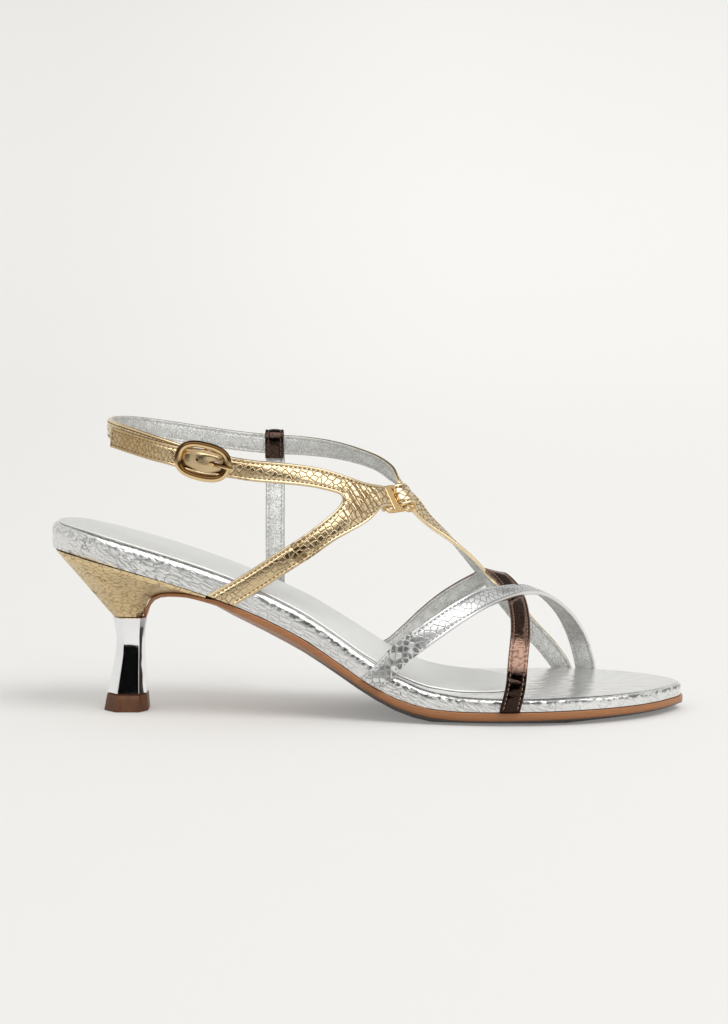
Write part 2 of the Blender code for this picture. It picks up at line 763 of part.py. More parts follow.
def rod(path, outward, radius):
    """Round rod along an open path."""
    path = np.asarray(path)
    tangents = unit(np.gradient(path, axis=0))
    sections = []
    for tangent in tangents:
        side = unit(np.cross(tangent, outward))
        sections.append((side * radius, np.cross(side, tangent) * radius))
    return wire_skin(path, sections, False)


def box_skin(centre, axes, halves):
    first, second, third = (np.asarray(axis) * half for axis, half in zip(axes, halves))
    ends = []
    for sign in (-1.0, 1.0):
        middle = np.asarray(centre) + sign * third
        ends.append([middle - first - second, middle + first - second, middle + first + second,
                     middle - first + second])
    return lofted(ends)


def quarter_skin():
    """Quarter strap as one sheet: the ankle branch runs to the link, the lower branch grows out of its edge."""
    centre, along, _, outward = link_axes()
    radius = LINK_WIRE + CLEARANCE
    high = []
    for *row, half in QUARTER_HIGH_ROWS:
        high += free_rows([row], half)
    high += curl_rows(centre - along * LINK_HALF_LONG, along, outward, radius, LOOP_HALVES, LEATHER)
    left, right, leather = ribbon(smooth_rows(high))
    tip = len(left) - len(CURL_ANGLES)
    fork = np.arange(tip - QUARTER_FORK, tip)
    low_left, low_right, low_leather = ribbon(smooth_rows(last_rows(QUARTER_LOW_ROWS, QUARTER_LOW_HALF)))
    low_left[0] = run_to_seam(low_left[0], low_left[1])
    low_right[0] = run_to_seam(low_right[0], low_right[1])
    share = np.linspace(0.0, 1.0, QUARTER_FORK)[None, :, None]
    branch = low_left[:, None, :] * (1 - share) + low_right[:, None, :] * share
    thick = np.repeat(low_leather[:, None, :], QUARTER_FORK, axis=1)
    goal = right[fork]
    reach = np.linalg.norm(goal - branch[-1], axis=1, keepdims=True)
    leave = unit(branch[-1] - branch[-2]) * reach * FORK_LEAVE
    inward = unit(left[fork] - right[fork])
    backward = unit(right[fork - 1] - right[fork])
    arrive = unit(backward * FORK_ROUNDING + inward * (1 - FORK_ROUNDING)) * reach
    joined, joined_thick = list(branch), list(thick)
    for t in FORK_STEPS:
        start = (1 + 2 * t) * (1 - t) ** 2 * branch[-1] + t * (1 - t) ** 2 * leave
        joined.append(start + t * t * (3 - 2 * t) * goal + t * t * (t - 1) * arrive)
        joined_thick.append(thick[-1] * (1 - t) + leather[fork] * t)
    main = np.stack((left, right), axis=1)
    inner = np.concatenate((main.reshape(-1, 3), np.reshape(joined, (-1, 3))))
    depth = np.concatenate((np.repeat(leather, 2, axis=0), np.reshape(joined_thick, (-1, 3))))
    main_index = np.arange(2 * len(left)).reshape(-1, 2)
    branch_index = 2 * len(left) + np.arange(len(joined) * QUARTER_FORK).reshape(-1, QUARTER_FORK)
    branch_index = np.concatenate((branch_index, main_index[fork, 1][None, :]))
    count = len(inner)
    faces = []
    for index in (main_index, branch_index):
        faces += sheet(index) + sheet(index + count)
    edges = [main_index[:, 0], main_index[0], main_index[-1], main_index[:fork[0] + 1, 1], main_index[fork[-1]:, 1]]
    edges += [branch_index[0], branch_index[:, 0], branch_index[:, -1]]
    for edge in edges:
        faces += wall(edge, edge + count)
    return np.concatenate((inner, inner + depth)), faces


def gold_strap_skin():
    """Instep strap that becomes the ankle strap, from the medial forefoot round the ankle to the buckle's bar."""
    rows = last_rows(INSTEP_ROWS, GOLD_HALF) + free_rows(RIDGE_ROWS, GOLD_HALF)
    for *row, half in ANKLE_ROWS:
        rows += free_rows([row], half)
    return strap_skin(smooth_rows(rows), seam_start=True)


def tab_skin():
    """Short tab of the instep strap that wraps round the near end of the link."""
    centre, along, _, outward = link_axes()
    root = free_rows([ANKLE_ROWS[0][:-1]], TAB_HALF, TAB_LEATHER)
    root[0][:3] += root[0][3:6] * TAB_SINK
    axis = centre + along * LINK_HALF_LONG
    curl = curl_rows(axis, -along, outward, LINK_WIRE + CLEARANCE, TAB_LOOP_HALVES, TAB_LEATHER)
    return strap_skin(smooth_rows(root + curl))


def silver_strap_skin():
    return strap_skin(smooth_rows(last_rows(SILVER_ROWS, SILVER_HALF)), seam_start=True, seam_end=True)


def bronze_strap_skin():
    rows = last_rows(BRONZE_ROWS, BRONZE_HALF) + free_rows(BRONZE_TOP_ROWS, BRONZE_HALF)
    return strap_skin(smooth_rows(rows + last_rows(BRONZE_END_ROWS, BRONZE_HALF)), seam_start=True, seam_end=True)


def post_skin():
    rows = last_rows(POST_ROWS, POST_HALF) + free_rows(POST_LOOP_ROWS, POST_HALF)
    return strap_skin(smooth_rows(rows), seam_start=True)


def buckle_axes():
    along = unit(BUCKLE_ALONG)
    outward = np.asarray(BUCKLE_OUT, float)
    outward = unit(outward - along * np.dot(outward, along))
    return np.asarray(BUCKLE_CENTRE), along, np.cross(outward, along), outward


def buckle_frame_skin():
    centre, along, across, outward = buckle_axes()
    return ring_wire(centre + outward * BUCKLE_LIFT, along, across, outward, BUCKLE_HALF_LONG, BUCKLE_HALF_WIDE,
                     BUCKLE_FULLNESS, BUCKLE_WIRE)


def buckle_bar_skin():
    centre, _, across, outward = buckle_axes()
    ends = [(-BUCKLE_HALF_WIDE, BUCKLE_LIFT), (-BAR_STRAIGHT, BAR_LIFT), (BAR_STRAIGHT, BAR_LIFT),
            (BUCKLE_HALF_WIDE, BUCKLE_LIFT)]
    path = [centre + across * side + outward * lift for side, lift in ends]
    return rod(path, buckle_axes()[1], BAR_WIRE)


def prong_skin():
    centre, along, across, outward = buckle_axes()
    return rod([centre + along * place + outward * lift for place, lift in PRONG_ROWS], across, PRONG_WIRE)


def prong_slot_skin():
    centre, along, across, outward = buckle_axes()
    first, last, half = PRONG_SLOT
    middle = centre + along * (first + last) / 2 + outward * BUCKLE_LIFT
    return box_skin(middle, (along, across, outward), ((last - first) / 2, half, BUCKLE_LIFT))


def link_ring_skin():
    centre, along, rise, outward = link_axes()
    return ring_wire(centre + rise * LINK_DROP, along, rise, outward, LINK_HALF_LONG, LINK_HALF_WIDE, LINK_FULLNESS,
                     LINK_WIRE)


def link_eye_skin():
    centre, along, rise, outward = link_axes()
    middle = centre + along * EYE_PLACE[0] + rise * EYE_PLACE[1]
    return ring_wire(middle, along, rise, outward, *EYE_HALVES, ROUND, EYE_WIRE)


def link_bar_skin():
    centre, along, rise, outward = link_axes()
    middle = centre + rise * LINK_DROP
    return box_skin(middle, (along, outward, rise), (LINK_BAR_HALF, LINK_BAR_DEPTH, LINK_HALF_WIDE))


def make_material(name, colour, metal, roughness):
    material = bpy.data.materials.new(name)
    material.use_nodes = True
    shader = material.node_tree.nodes["Principled BSDF"]
    shader.inputs["Base Color"].default_value = (*colour, 1.0)
    shader.inputs["Metallic"].default_value = metal
    shader.inputs["Roughness"].default_value = roughness
    return material


def make_solid(name, skin, shift, material=None):
    points, faces = skin
    mesh = bpy.data.meshes.new(name)
    mesh.from_pydata([tuple(point) for point in (points + shift) * MM], [], [tuple(map(int, f)) for f in faces])
    work = bmesh.new()
    work.from_mesh(mesh)
    bmesh.ops.remove_doubles(work, verts=work.verts, dist=WELD * MM)
    bmesh.ops.recalc_face_normals(work, faces=work.faces)
    work.to_mesh(mesh)
    work.free()
    solid = bpy.data.objects.new(name, mesh)
    bpy.context.collection.objects.link(solid)
    if material:
        mesh.materials.append(material)
    return solid


def combine(solid, other, operation):
    """Join or cut a solid with another one, which stays hidden."""
    other.hide_render = True
    other.display_type = "WIRE"
    modifier = solid.modifiers.new(other.name, "BOOLEAN")
    modifier.operation = operation
    modifier.solver = "EXACT"
    modifier.object = other


def build():
    for old in list(bpy.data.objects):
        bpy.data.objects.remove(old, do_unlink=True)
    colours = {name: make_material(name, colour, metal, roughness) for name, colour, metal, roughness in COLOURS}
    solids = [
        ("outsole", outsole_skin(), "tan_sole"),
        ("footbed", footbed_skin(), "silver_leather"),
        ("sock_lining", sock_skin(), "silver_lining"),
        ("heel_block", heel_skin(), "gold_heel_leather"),
        ("heel_stem", octagon_skin(STEM_ROWS), "chrome"),
        ("top_lift", octagon_skin(LIFT_ROWS), "brown_lift"),
        ("upper", gold_strap_skin(), "strap_leather"),
        ("quarter_strap", quarter_skin(), "quarter_leather"),
        ("buckle_frame", buckle_frame_skin(), "gold_metal"),
        ("buckle_prong", prong_skin(), "prong_metal"),
        ("strap_link", link_ring_skin(), "link_metal"),
    ]
    helpers = [
        ("bronze_strap", bronze_strap_skin(), "upper", "UNION"),
        ("silver_strap", silver_strap_skin(), "upper", "UNION"),
        ("medial_post", post_skin(), "upper", "UNION"),
        ("link_tab", tab_skin(), "upper", "UNION"),
        ("prong_slot", prong_slot_skin(), "quarter_strap", "DIFFERENCE"),
        ("buckle_bar", buckle_bar_skin(), "buckle_frame", "UNION"),
        ("link_bar", link_bar_skin(), "strap_link", "UNION"),
        ("link_eye", link_eye_skin(), "strap_link", "UNION"),
    ]
    added = [skin for _, skin, _, operation in helpers if operation == "UNION"]
    corners = np.concatenate([points for points, _ in [skin for _, skin, _ in solids] + added])
    middle = (corners.min(axis=0) + corners.max(axis=0)) / 2
    shift = np.array((-middle[0], -middle[1], 0.0))
    made = {name: make_solid(name, skin, shift, colours[colour]) for name, skin, colour in solids}
    for name, skin, target, operation in helpers:
        combine(made[target], make_solid(name, skin, shift), operation)


build()
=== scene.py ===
"""Looks of the strappy sandal: leathers, linings, stitching, polished metal, floor, light and camera."""

import bmesh
import bpy
import numpy as np
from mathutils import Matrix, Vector


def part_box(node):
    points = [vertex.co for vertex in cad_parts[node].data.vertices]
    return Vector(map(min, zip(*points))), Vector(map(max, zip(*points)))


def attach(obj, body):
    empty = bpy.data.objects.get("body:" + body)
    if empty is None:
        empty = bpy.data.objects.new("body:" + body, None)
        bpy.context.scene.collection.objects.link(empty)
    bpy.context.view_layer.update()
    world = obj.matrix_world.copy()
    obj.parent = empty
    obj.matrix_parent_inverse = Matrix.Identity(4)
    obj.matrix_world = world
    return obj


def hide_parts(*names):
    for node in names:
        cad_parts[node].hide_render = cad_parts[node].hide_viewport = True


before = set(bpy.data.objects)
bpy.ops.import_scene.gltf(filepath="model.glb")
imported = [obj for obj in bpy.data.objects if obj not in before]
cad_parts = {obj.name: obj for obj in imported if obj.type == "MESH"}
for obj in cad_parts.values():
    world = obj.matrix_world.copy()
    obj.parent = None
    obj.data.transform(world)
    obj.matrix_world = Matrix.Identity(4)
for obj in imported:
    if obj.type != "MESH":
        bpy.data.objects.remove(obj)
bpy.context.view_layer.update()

# The shoe's own sizes, in millimetres: x from the heel to the toe, y to the medial side, z up from the floor.
MM = 0.001
LENGTH = 235.0
CLEARANCE = 0.3
STRAP_GAP = 0.5
LEATHER = 1.6
WALL_DROP = 0.6
FINE = 0.5
# Millimetres in one unit of a strap's own texture map.
UV_MM = 10.0
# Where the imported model's frame has the shoe's own zero.
HEEL_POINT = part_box("footbed")[0].x / MM
MIDDLE = sum(corner.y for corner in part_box("heel_stem")) / 2 / MM
SHIFT = np.array((HEEL_POINT, MIDDLE, 0.0))

# Footbed: share of the length from the heel, half widths to the lateral and medial edge, height of the seam
# under the lateral edge, height of the side wall, and how much higher the medial edge lies.
FOOTBED_ROWS = [
    # along, lateral, medial, seam, wall, lift
    (0.00, 0.0, 0.0, 61.6, 9.4, 0.0),
    (0.02, 12.5, 12.5, 61.0, 9.5, 0.0),
    (0.05, 19.0, 19.0, 59.6, 9.6, 0.0),
    (0.10, 24.0, 24.0, 56.6, 9.5, 0.0),
    (0.15, 26.0, 25.8, 53.4, 9.3, 0.0),
    (0.20, 26.5, 26.0, 49.9, 9.2, 0.0),
    (0.30, 26.3, 24.5, 41.6, 9.0, 0.2),
    (0.40, 27.0, 22.3, 30.2, 8.8, 1.6),
    (0.45, 28.3, 21.8, 22.4, 8.9, 2.5),
    (0.50, 30.0, 22.0, 14.5, 8.6, 3.2),
    (0.55, 32.5, 23.5, 8.6, 7.4, 3.0),
    (0.60, 35.3, 27.0, 5.8, 6.0, 1.8),
    (0.65, 37.6, 31.5, 5.1, 5.1, 1.0),
    (0.70, 38.8, 35.6, 5.1, 4.7, 0.4),
    (0.75, 38.8, 38.0, 5.3, 4.5, 0.0),
    (0.80, 37.2, 38.5, 5.4, 4.5, 0.0),
    (0.85, 33.6, 36.8, 5.5, 4.5, 0.0),
    (0.90, 27.5, 32.0, 5.5, 4.5, 0.0),
    (0.95, 18.3, 23.5, 5.6, 4.5, 0.0),
    (0.98, 9.5, 15.0, 5.7, 4.5, 0.0),
    (1.00, -2.0, 2.0, 5.7, 4.5, 0.0),
]
FOOTBED_STATIONS = 500
FOOTBED_COLUMNS = 24
WALL_SHARES = np.linspace(0.0, 0.95, 10)
RIM_INSET = 2.0
RIM_SHARE = 0.30
RIM_ANGLES = np.linspace(0.0, 90.0, 13)
PLATFORM_SHARP = 60.0

# Creases of the platform's wall near the heel: where each starts at the rim and ends at the seam, its half
# width and depth.
WALL_CREASES = [
    # start, end, width, depth
    (13.0, 24.0, 0.6, 0.10),
    (17.0, 29.5, 0.6, 0.14),
    (20.5, 34.0, 0.6, 0.16),
    (24.0, 38.5, 0.6, 0.16),
    (28.0, 43.0, 0.6, 0.14),
    (33.0, 47.5, 0.6, 0.10),
]

# Small dashes of painted dark reflection under the rim: share of the wall where they start, angle of the bend
# where they end, and their strength along the length.
DASH_START = 0.7
DASH_END = 42.0
DASH_ROWS = [
    # x, strength
    (70.0, 0.3),
    (90.0, 0.8),
    (165.0, 0.9),
    (235.0, 0.7),
]

# Crackle of the platform's leather along its length, and how far it is carried over the rim.
RIM_CRACKLE = 3.0
CRACKLE_ROWS = [
    # x, strength
    (0.0, 0.6),
    (15.0, 1.0),
    (45.0, 1.0),
    (62.0, 0.55),
    (120.0, 0.55),
    (128.0, 0.90),
    (160.0, 0.80),
    (190.0, 0.55),
    (235.0, 0.55),
]

# Sock lining: half widths of the smooth insole that covers the heel seat and the arch.
SOCK_ROWS = [
    # along, lateral, medial
    (0.011, 0.0, 0.0),
    (0.030, 13.0, 13.0),
    (0.060, 18.0, 18.0),
    (0.100, 21.8, 21.7),
    (0.150, 23.6, 23.3),
    (0.200, 24.0, 23.5),
    (0.300, 23.8, 22.0),
    (0.400, 24.4, 19.8),
    (0.500, 26.5, 19.5),
    (0.550, 26.5, 21.0),
    (0.600, 26.6, 24.0),
    (0.650, 26.2, 26.0),
    (0.690, 24.0, 24.0),
    (0.715, 20.0, 19.5),
    (0.732, 13.5, 14.0),
    (0.742, -2.0, 2.0),
]
SOCK_STATIONS = 140
SOCK_LEVELS = [
    # inset, height over the footbed
    (0.0, 0.15),
    (0.0, 0.55),
    (0.1, 0.70),
    (0.3, 0.80),
    (1.2, 0.82),
]
SOCK_SHARP = 50.0

# Sole: height of its edge, where the breast of the heel ends, and how its edges are softened.
SOLE_EDGE = 3.7
SOLE_BREAST = 62.0
SOLE_BEVEL = 0.4
SOLE_BEVEL_STEPS = 3
SOLE_SHARP = 35.0
SOLE_WELD = 0.01
SOLE_FLAT = 0.2

# Breast of the heel, from the neck up to the seat: its curve in profile, half its width at the front, and the
# share of the back line that each level has climbed.
BREAST_ROWS = [
    # x, z, half, climb
    (33.5, 35.5, 3.2, 0.00),
    (34.3, 38.6, 5.6, 0.10),
    (35.7, 41.2, 8.4, 0.22),
    (37.8, 43.7, 11.6, 0.36),
    (40.6, 45.3, 14.8, 0.50),
    (44.0, 46.1, 18.0, 0.64),
    (48.0, 46.4, 21.0, 0.78),
    (51.5, 46.4, 23.4, 0.90),
    (54.4, 46.0, 25.0, 0.955),
    (58.4, 45.1, 26.0, 0.985),
]
HEEL_BACK_LOW = (22.6, 35.5)
HEEL_BACK_HIGH = (1.2, 61.0)
HEEL_NECK_HALF = 6.1
HEEL_SEAT_HALF = 25.9
# One side of a heel level, from the middle of the back towards the breast: share of the depth and of the half
# width, at the rounded seat and at the eight-sided neck.
HEEL_SIDE = [
    # seat depth, seat width, neck depth, neck width
    (0.00, 0.00, 0.00, 0.00),
    (0.02, 0.36, 0.00, 0.20),
    (0.07, 0.60, 0.00, 0.40),
    (0.16, 0.80, 0.12, 0.70),
    (0.30, 0.94, 0.25, 1.00),
    (0.50, 1.00, 0.45, 1.00),
    (0.70, 1.00, 0.62, 1.00),
    (0.87, 1.00, 0.80, 1.00),
]
HEEL_LEVELS = 49
HEEL_SIDE_POINTS = 57
HEEL_FRONT_POINTS = 8
HEEL_SHARP = 40.0

# Eight-sided stem and top lift: levels from the top, with their back, front and half width.
STEM_ROWS = [
    # z, back, front, half
    (35.2, 22.4, 35.2, 6.4),
    (31.0, 23.2, 34.6, 5.9),
    (27.0, 23.6, 34.3, 5.8),
    (22.0, 23.3, 34.3, 6.1),
    (15.0, 22.0, 34.5, 7.0),
    (6.6, 20.1, 35.0, 8.3),
]
LIFT_ROWS = [
    # z, back, front, half
    (6.3, 20.0, 35.1, 8.4),
    (0.0, 18.9, 35.5, 9.0),
]
OCTAGON = [
    # depth, width
    (0.00, -0.38),
    (0.27, -1.00),
    (0.82, -1.00),
    (1.00, -0.50),
    (1.00, 0.50),
    (0.82, 1.00),
    (0.27, 1.00),
    (0.00, 0.38),
]
CORNER_RADIUS = 0.45
CORNER_STEPS = (0.0, 0.25, 0.5, 0.75, 1.0)
RIM_CHAMFER = 0.3
STEM_LEVELS = 25
LIFT_LEVELS = 4
OCTAGON_SHARP = 50.0

# Last above the footbed: height and side of its crown, and how full its section is.
LAST_ROWS = [
    # along, crown, side, fullness
    (0.24, 118.0, 0.0, 2.4),
    (0.36, 114.0, 0.0, 2.4),
    (0.46, 103.0, 0.0, 2.3),
    (0.50, 94.5, 0.0, 2.2),
    (0.53, 86.5, 1.0, 2.2),
    (0.56, 79.0, 2.0, 2.2),
    (0.60, 70.2, 3.5, 2.2),
    (0.64, 61.8, 5.0, 2.2),
    (0.67, 54.6, 6.0, 2.2),
    (0.70, 47.7, 6.0, 2.2),
    (0.74, 44.9, 6.0, 2.2),
    (0.78, 41.4, 6.0, 2.2),
    (0.82, 36.6, 6.0, 2.2),
    (0.86, 31.0, 6.0, 2.1),
    (0.90, 25.0, 5.0, 2.0),
]

# Straps over the last: share of the length, turn over the foot from the lateral rim (0) to the medial rim
# (180), and lift off the last where one strap lies on another.
SILVER_ROWS = [
    # along, turn, lift
    (0.512, -9.1, 0.0),
    (0.527, 0.3, 0.0),
    (0.550, 6.8, 0.0),
    (0.581, 15.0, 0.0),
    (0.611, 23.6, 0.0),
    (0.641, 33.9, 0.1),
    (0.671, 47.5, 0.4),
    (0.704, 65.0, 0.6),
    (0.730, 74.5, 0.6),
    (0.760, 88.0, 0.5),
    (0.796, 109.0, 0.0),
    (0.831, 135.8, 0.0),
    (0.850, 159.0, 0.0),
    (0.859, 178.0, 0.0),
    (0.862, 185.0, 0.0),
]
BRONZE_ROWS = [
    # along, turn, lift
    (0.7195, -4.0, 0.0),
    (0.7256, 4.6, 0.0),
    (0.7305, 20.8, 0.0),
    (0.7355, 39.6, 0.0),
]
INSTEP_ROWS = [
    # along, turn, lift
    (0.825, 184.0, 0.0),
    (0.822, 180.9, 0.0),
    (0.802, 168.9, 0.0),
    (0.768, 154.1, 0.0),
    (0.728, 133.0, 0.0),
]
BRONZE_END_ROWS = [
    # along, turn, lift
    (0.538, 181.4, 0.0),
    (0.525, 187.0, 0.0),
]
POST_ROWS = [
    # along, turn, lift
    (0.349, 190.0, 0.0),
    (0.349, 181.0, 0.0),
    (0.349, 174.9, 0.0),
]
QUARTER_LOW_ROWS = [
    # along, turn, lift
    (0.279, -12.2, 0.0),
    (0.318, 0.8, 0.0),
    (0.364, 8.4, 0.0),
    (0.411, 18.4, 0.0),
    (0.436, 25.5, 0.0),
]

# Straps round the ankle: points of the inner face, and the compass direction (0 to the toe, 90 to the medial
# side) and rise of the way that face looks out.
BRONZE_TOP_ROWS = [
    # x, y, z, compass, rise
    (172.7, -18.5, 39.9, -80.0, 62.0),
    (171.8, -8.5, 43.2, -80.0, 68.0),
    (169.9, 0.0, 46.2, -70.0, 70.0),
    (166.2, 7.0, 49.2, 0.0, 85.0),
    (163.4, 13.0, 49.2, 60.0, 62.0),
    (159.6, 18.4, 46.0, 75.0, 42.0),
    (154.2, 21.4, 42.6, 85.0, 30.0),
    (147.2, 23.4, 37.8, 94.0, 20.0),
    (139.8, 24.7, 31.5, 100.0, 9.0),
    (132.5, 24.4, 24.6, 101.0, 3.0),
]
RIDGE_ROWS = [
    # x, y, z, compass, rise
    (162.2, 12.0, 47.1, 31.0, 55.0),
    (158.5, 10.9, 51.5, 30.0, 46.0),
    (154.6, 9.9, 56.0, 22.0, 44.0),
    (146.7, 7.6, 63.9, -5.0, 42.0),
    (139.8, 5.6, 70.0, -23.0, 34.0),
]
ANKLE_ROWS = [
    # x, y, z, compass, rise, half
    (134.2, 3.4, 76.8, -37.0, 27.0, 3.75),
    (129.8, 6.0, 83.0, -4.0, 40.0, 3.6),
    (125.8, 11.0, 87.5, 42.0, 22.0, 3.4),
    (121.0, 15.6, 90.7, 52.0, 20.0, 3.25),
    (114.6, 19.8, 93.0, 58.0, 18.0, 3.25),
    (103.1, 25.4, 95.6, 66.0, 10.0, 3.5),
    (91.6, 29.4, 96.8, 77.0, 4.0, 3.7),
    (81.2, 31.0, 97.3, 86.0, 0.0, 3.75),
    (68.6, 31.2, 98.5, 92.0, 0.0, 3.75),
    (53.3, 30.0, 100.8, 99.0, 0.0, 3.75),
    (38.2, 26.0, 103.4, 114.0, 0.0, 3.75),
    (28.6, 18.0, 105.1, 138.0, 0.0, 3.75),
    (23.8, 8.5, 105.7, 160.0, 0.0, 3.75),
    (22.5, 0.0, 105.7, 180.0, 0.0, 3.75),
    (23.9, -8.5, 105.4, 201.0, 0.0, 3.75),
    (31.2, -20.0, 103.6, 231.0, 0.0, 3.75),
    (42.3, -27.0, 100.3, 252.0, 0.0, 3.75),
    (53.3, -30.0, 96.9, 265.0, 0.0, 3.75),
    (58.4, -30.4, 95.6, 267.0, 0.0, 3.75),
]
QUARTER_HIGH_ROWS = [
    # x, y, z, compass, rise, half
    (24.4, -14.9, 103.2, 217.0, 0.0, 3.85),
    (29.9, -21.6, 102.0, 231.0, 0.0, 3.85),
    (41.6, -28.9, 99.0, 252.0, 0.0, 3.85),
    (49.6, -31.6, 97.1, 264.0, 0.0, 3.85),
    (51.6, -31.9, 96.5, 266.0, 0.0, 4.1),
    (55.6, -33.1, 95.9, 267.0, 0.0, 4.6),
    (58.8, -34.2, 95.3, 268.0, 0.0, 4.7),
    (62.0, -33.3, 94.7, 268.0, 0.0, 4.5),
    (66.0, -32.4, 93.8, 268.0, 0.0, 3.95),
    (68.0, -32.2, 93.4, 269.0, 0.0, 3.85),
    (76.0, -31.2, 92.0, 272.0, 4.0, 3.85),
    (86.0, -29.3, 90.9, 277.0, 9.0, 3.85),
    (98.0, -25.6, 89.0, 284.0, 18.0, 3.85),
    (108.0, -21.8, 85.9, 293.0, 25.0, 3.85),
    (115.6, -18.2, 82.9, 303.0, 31.0, 3.85),
]
POST_LOOP_ROWS = [
    # x, y, z, compass, rise
    (82.0, 27.0, 68.8, 88.0, -6.0),
    (82.0, 30.2, 82.0, 88.0, -6.0),
    (82.0, 31.9, 91.5, 88.0, -3.0),
    (81.8, 32.1, 100.9, 88.0, 0.0),
    (81.8, 32.0, 101.25, 88.0, 45.0),
    (81.8, 31.8, 101.4, 88.0, 90.0),
    (81.8, 31.6, 101.25, 88.0, 135.0),
    (81.8, 31.5, 100.9, 88.0, 180.0),
    (81.8, 31.4, 92.0, 88.0, 180.0),
]

# Half widths of the straps, of their ends in the link to the left and right, and the tab's thinner leather.
GOLD_HALF = 3.75
SILVER_HALF = 4.0
BRONZE_HALF = 3.65
POST_HALF = 3.6
QUARTER_LOW_HALF = 4.1
TAB_HALF = 3.2
TAB_LEATHER = 1.1
TAB_SINK = 0.25
LOOP_HALVES = (4.3, 4.6)
TAB_LOOP_HALVES = (4.6, 4.1)
TAB_LOOP_LEATHER = 1.9
QUARTER_FORK = 5
FORK_STEPS = (0.25, 0.5, 0.75)
FORK_ROUNDING = np.array([[0.9], [0.4], [-0.2], [-0.9], [-1.9]])
FORK_LEAVE = np.array([[1.0], [1.0], [0.9], [0.8], [0.7]])
QUARTER_STEP = 4.0
QUARTER_LEVELS = 4

# Section of a strap from its edge inwards: a turned edge, a sewn groove, then a slightly domed middle.
OUTER_PROFILE = [
    # inset from the edge, height over the leather's face
    (0.00, -0.80),
    (0.05, -0.45),
    (0.18, -0.18),
    (0.42, -0.03),
    (0.75, -0.02),
    (1.00, -0.12),
    (1.22, -0.22),
    (1.44, -0.12),
    (1.75, 0.00),
    (2.40, 0.10),
]
OUTER_DOME = 0.16
INNER_PROFILE = [
    # inset from the edge, height over the inner face
    (0.05, 0.45),
    (0.16, 0.20),
    (0.40, 0.04),
    (0.75, 0.02),
    (1.00, 0.10),
    (1.22, 0.18),
    (1.44, 0.10),
    (2.20, 0.02),
]
INNER_DOME = 0.0
LINING_INSET = 0.15
PLAIN_EDGE = (1.3, 1.9)
SEAM_ROWS = 8
SEAM_HEIGHT = 0.5
FLAT_MIDDLE = 20.0
FLAT_RISE = 0.01

# Where along a strap its scales stand out, and how many of them are filled dark as painted dark reflection.
EVEN_MARKS = [
    # place, scales, dark
    (0.0, 1.0, 0.0),
    (400.0, 1.0, 0.0),
]
BRONZE_MARKS = [
    # place, scales, dark
    (0.0, 1.0, 0.95),
    (13.0, 1.0, 0.85),
    (17.0, 1.0, 0.0),
    (400.0, 1.0, 0.0),
]
SILVER_MARKS = [
    # place, scales, dark
    (0.0, 1.0, 0.25),
    (8.0, 1.0, 0.9),
    (22.0, 1.0, 0.95),
    (30.0, 0.95, 0.1),
    (45.0, 0.85, 0.0),
    (400.0, 0.85, 0.0),
]

# The same on the quarter strap, round places in its profile: dark scales of painted dark reflection, the
# painted shade under the scales, and how far they are smoothed away. Then the painted shade inside the
# buckle, and where the tail's scales grow finer and by how much.
QUARTER_MARKS = [
    # x, z, reach, dark, shade, smooth
    (32.0, 101.0, 16.0, 0.2, 0.75, 0.0),
    (72.0, 92.5, 7.0, 0.6, 0.25, 0.0),
    (93.0, 62.5, 8.5, 0.95, 0.2, 0.0),
    (78.0, 51.0, 11.0, 0.0, 0.3, 0.75),
]
BUCKLE_PAINTED_SHADE = 0.45
TAIL_START = 52.0
TAIL_FINER = 1.7

# Stitches, and one stitch from end to end.
STITCH_INSET = 1.22
STITCH_PITCH = 1.75
STITCH_LENGTH = 1.2
STITCH_SIDES = 6
STITCH_SINK = -0.12
STITCH_ROWS = [
    # share of the length, radius, rise
    (0.00, 0.07, -0.10),
    (0.12, 0.17, 0.00),
    (0.50, 0.20, 0.04),
    (0.88, 0.17, 0.00),
    (1.00, 0.07, -0.10),
]

# Pleats where the quarter strap is gathered towards the link: their middle, reach, way across, pitch and
# height, how fast they fade, the height under which their troughs get painted shade, the bends of their lines
# along x and z, and the finer pleats between them.
PLEAT_PLACE = (114.5, 81.5)
PLEAT_REACH = 9.5
PLEAT_WAY = (0.86, 0.51)
PLEAT_PITCH = 1.6
PLEAT_HEIGHT = 0.34
PLEAT_FADE = 0.7
PLEAT_SHADE_LEVEL = 0.1
PLEAT_BENDS = [
    # sway, length
    (0.5, 2.3),
    (0.9, 3.1),
]
FINE_PLEAT_SHARE = 0.35
FINE_PLEAT_RATE = 1.7
FINE_PLEAT_START = 1.0

# Dents and ridges of the strap inside the buckle, in shares of the opening's half length and half width.
DENT_ROWS = [
    # long, wide, reach long, reach wide, height
    (-0.20, 0.10, 0.20, 0.30, 0.06),
    (0.22, 0.12, 0.24, 0.26, -0.10),
    (-0.52, 0.0, 0.14, 0.60, -0.06),
    (0.05, 0.55, 0.45, 0.14, 0.05),
    (-0.02, -0.42, 0.35, 0.12, -0.06),
    (0.55, -0.05, 0.18, 0.40, 0.05),
]

# Creases across the bronze strap: place along it, slant, half width and depth.
BRONZE_CREASES = [
    # place, slant, width, depth
    (38.5, -0.1, 0.5, 0.16),
    (33.0, 0.25, 0.8, 0.10),
    (12.0, 0.15, 0.9, 0.14),
    (6.5, -0.2, 0.7, 0.12),
]

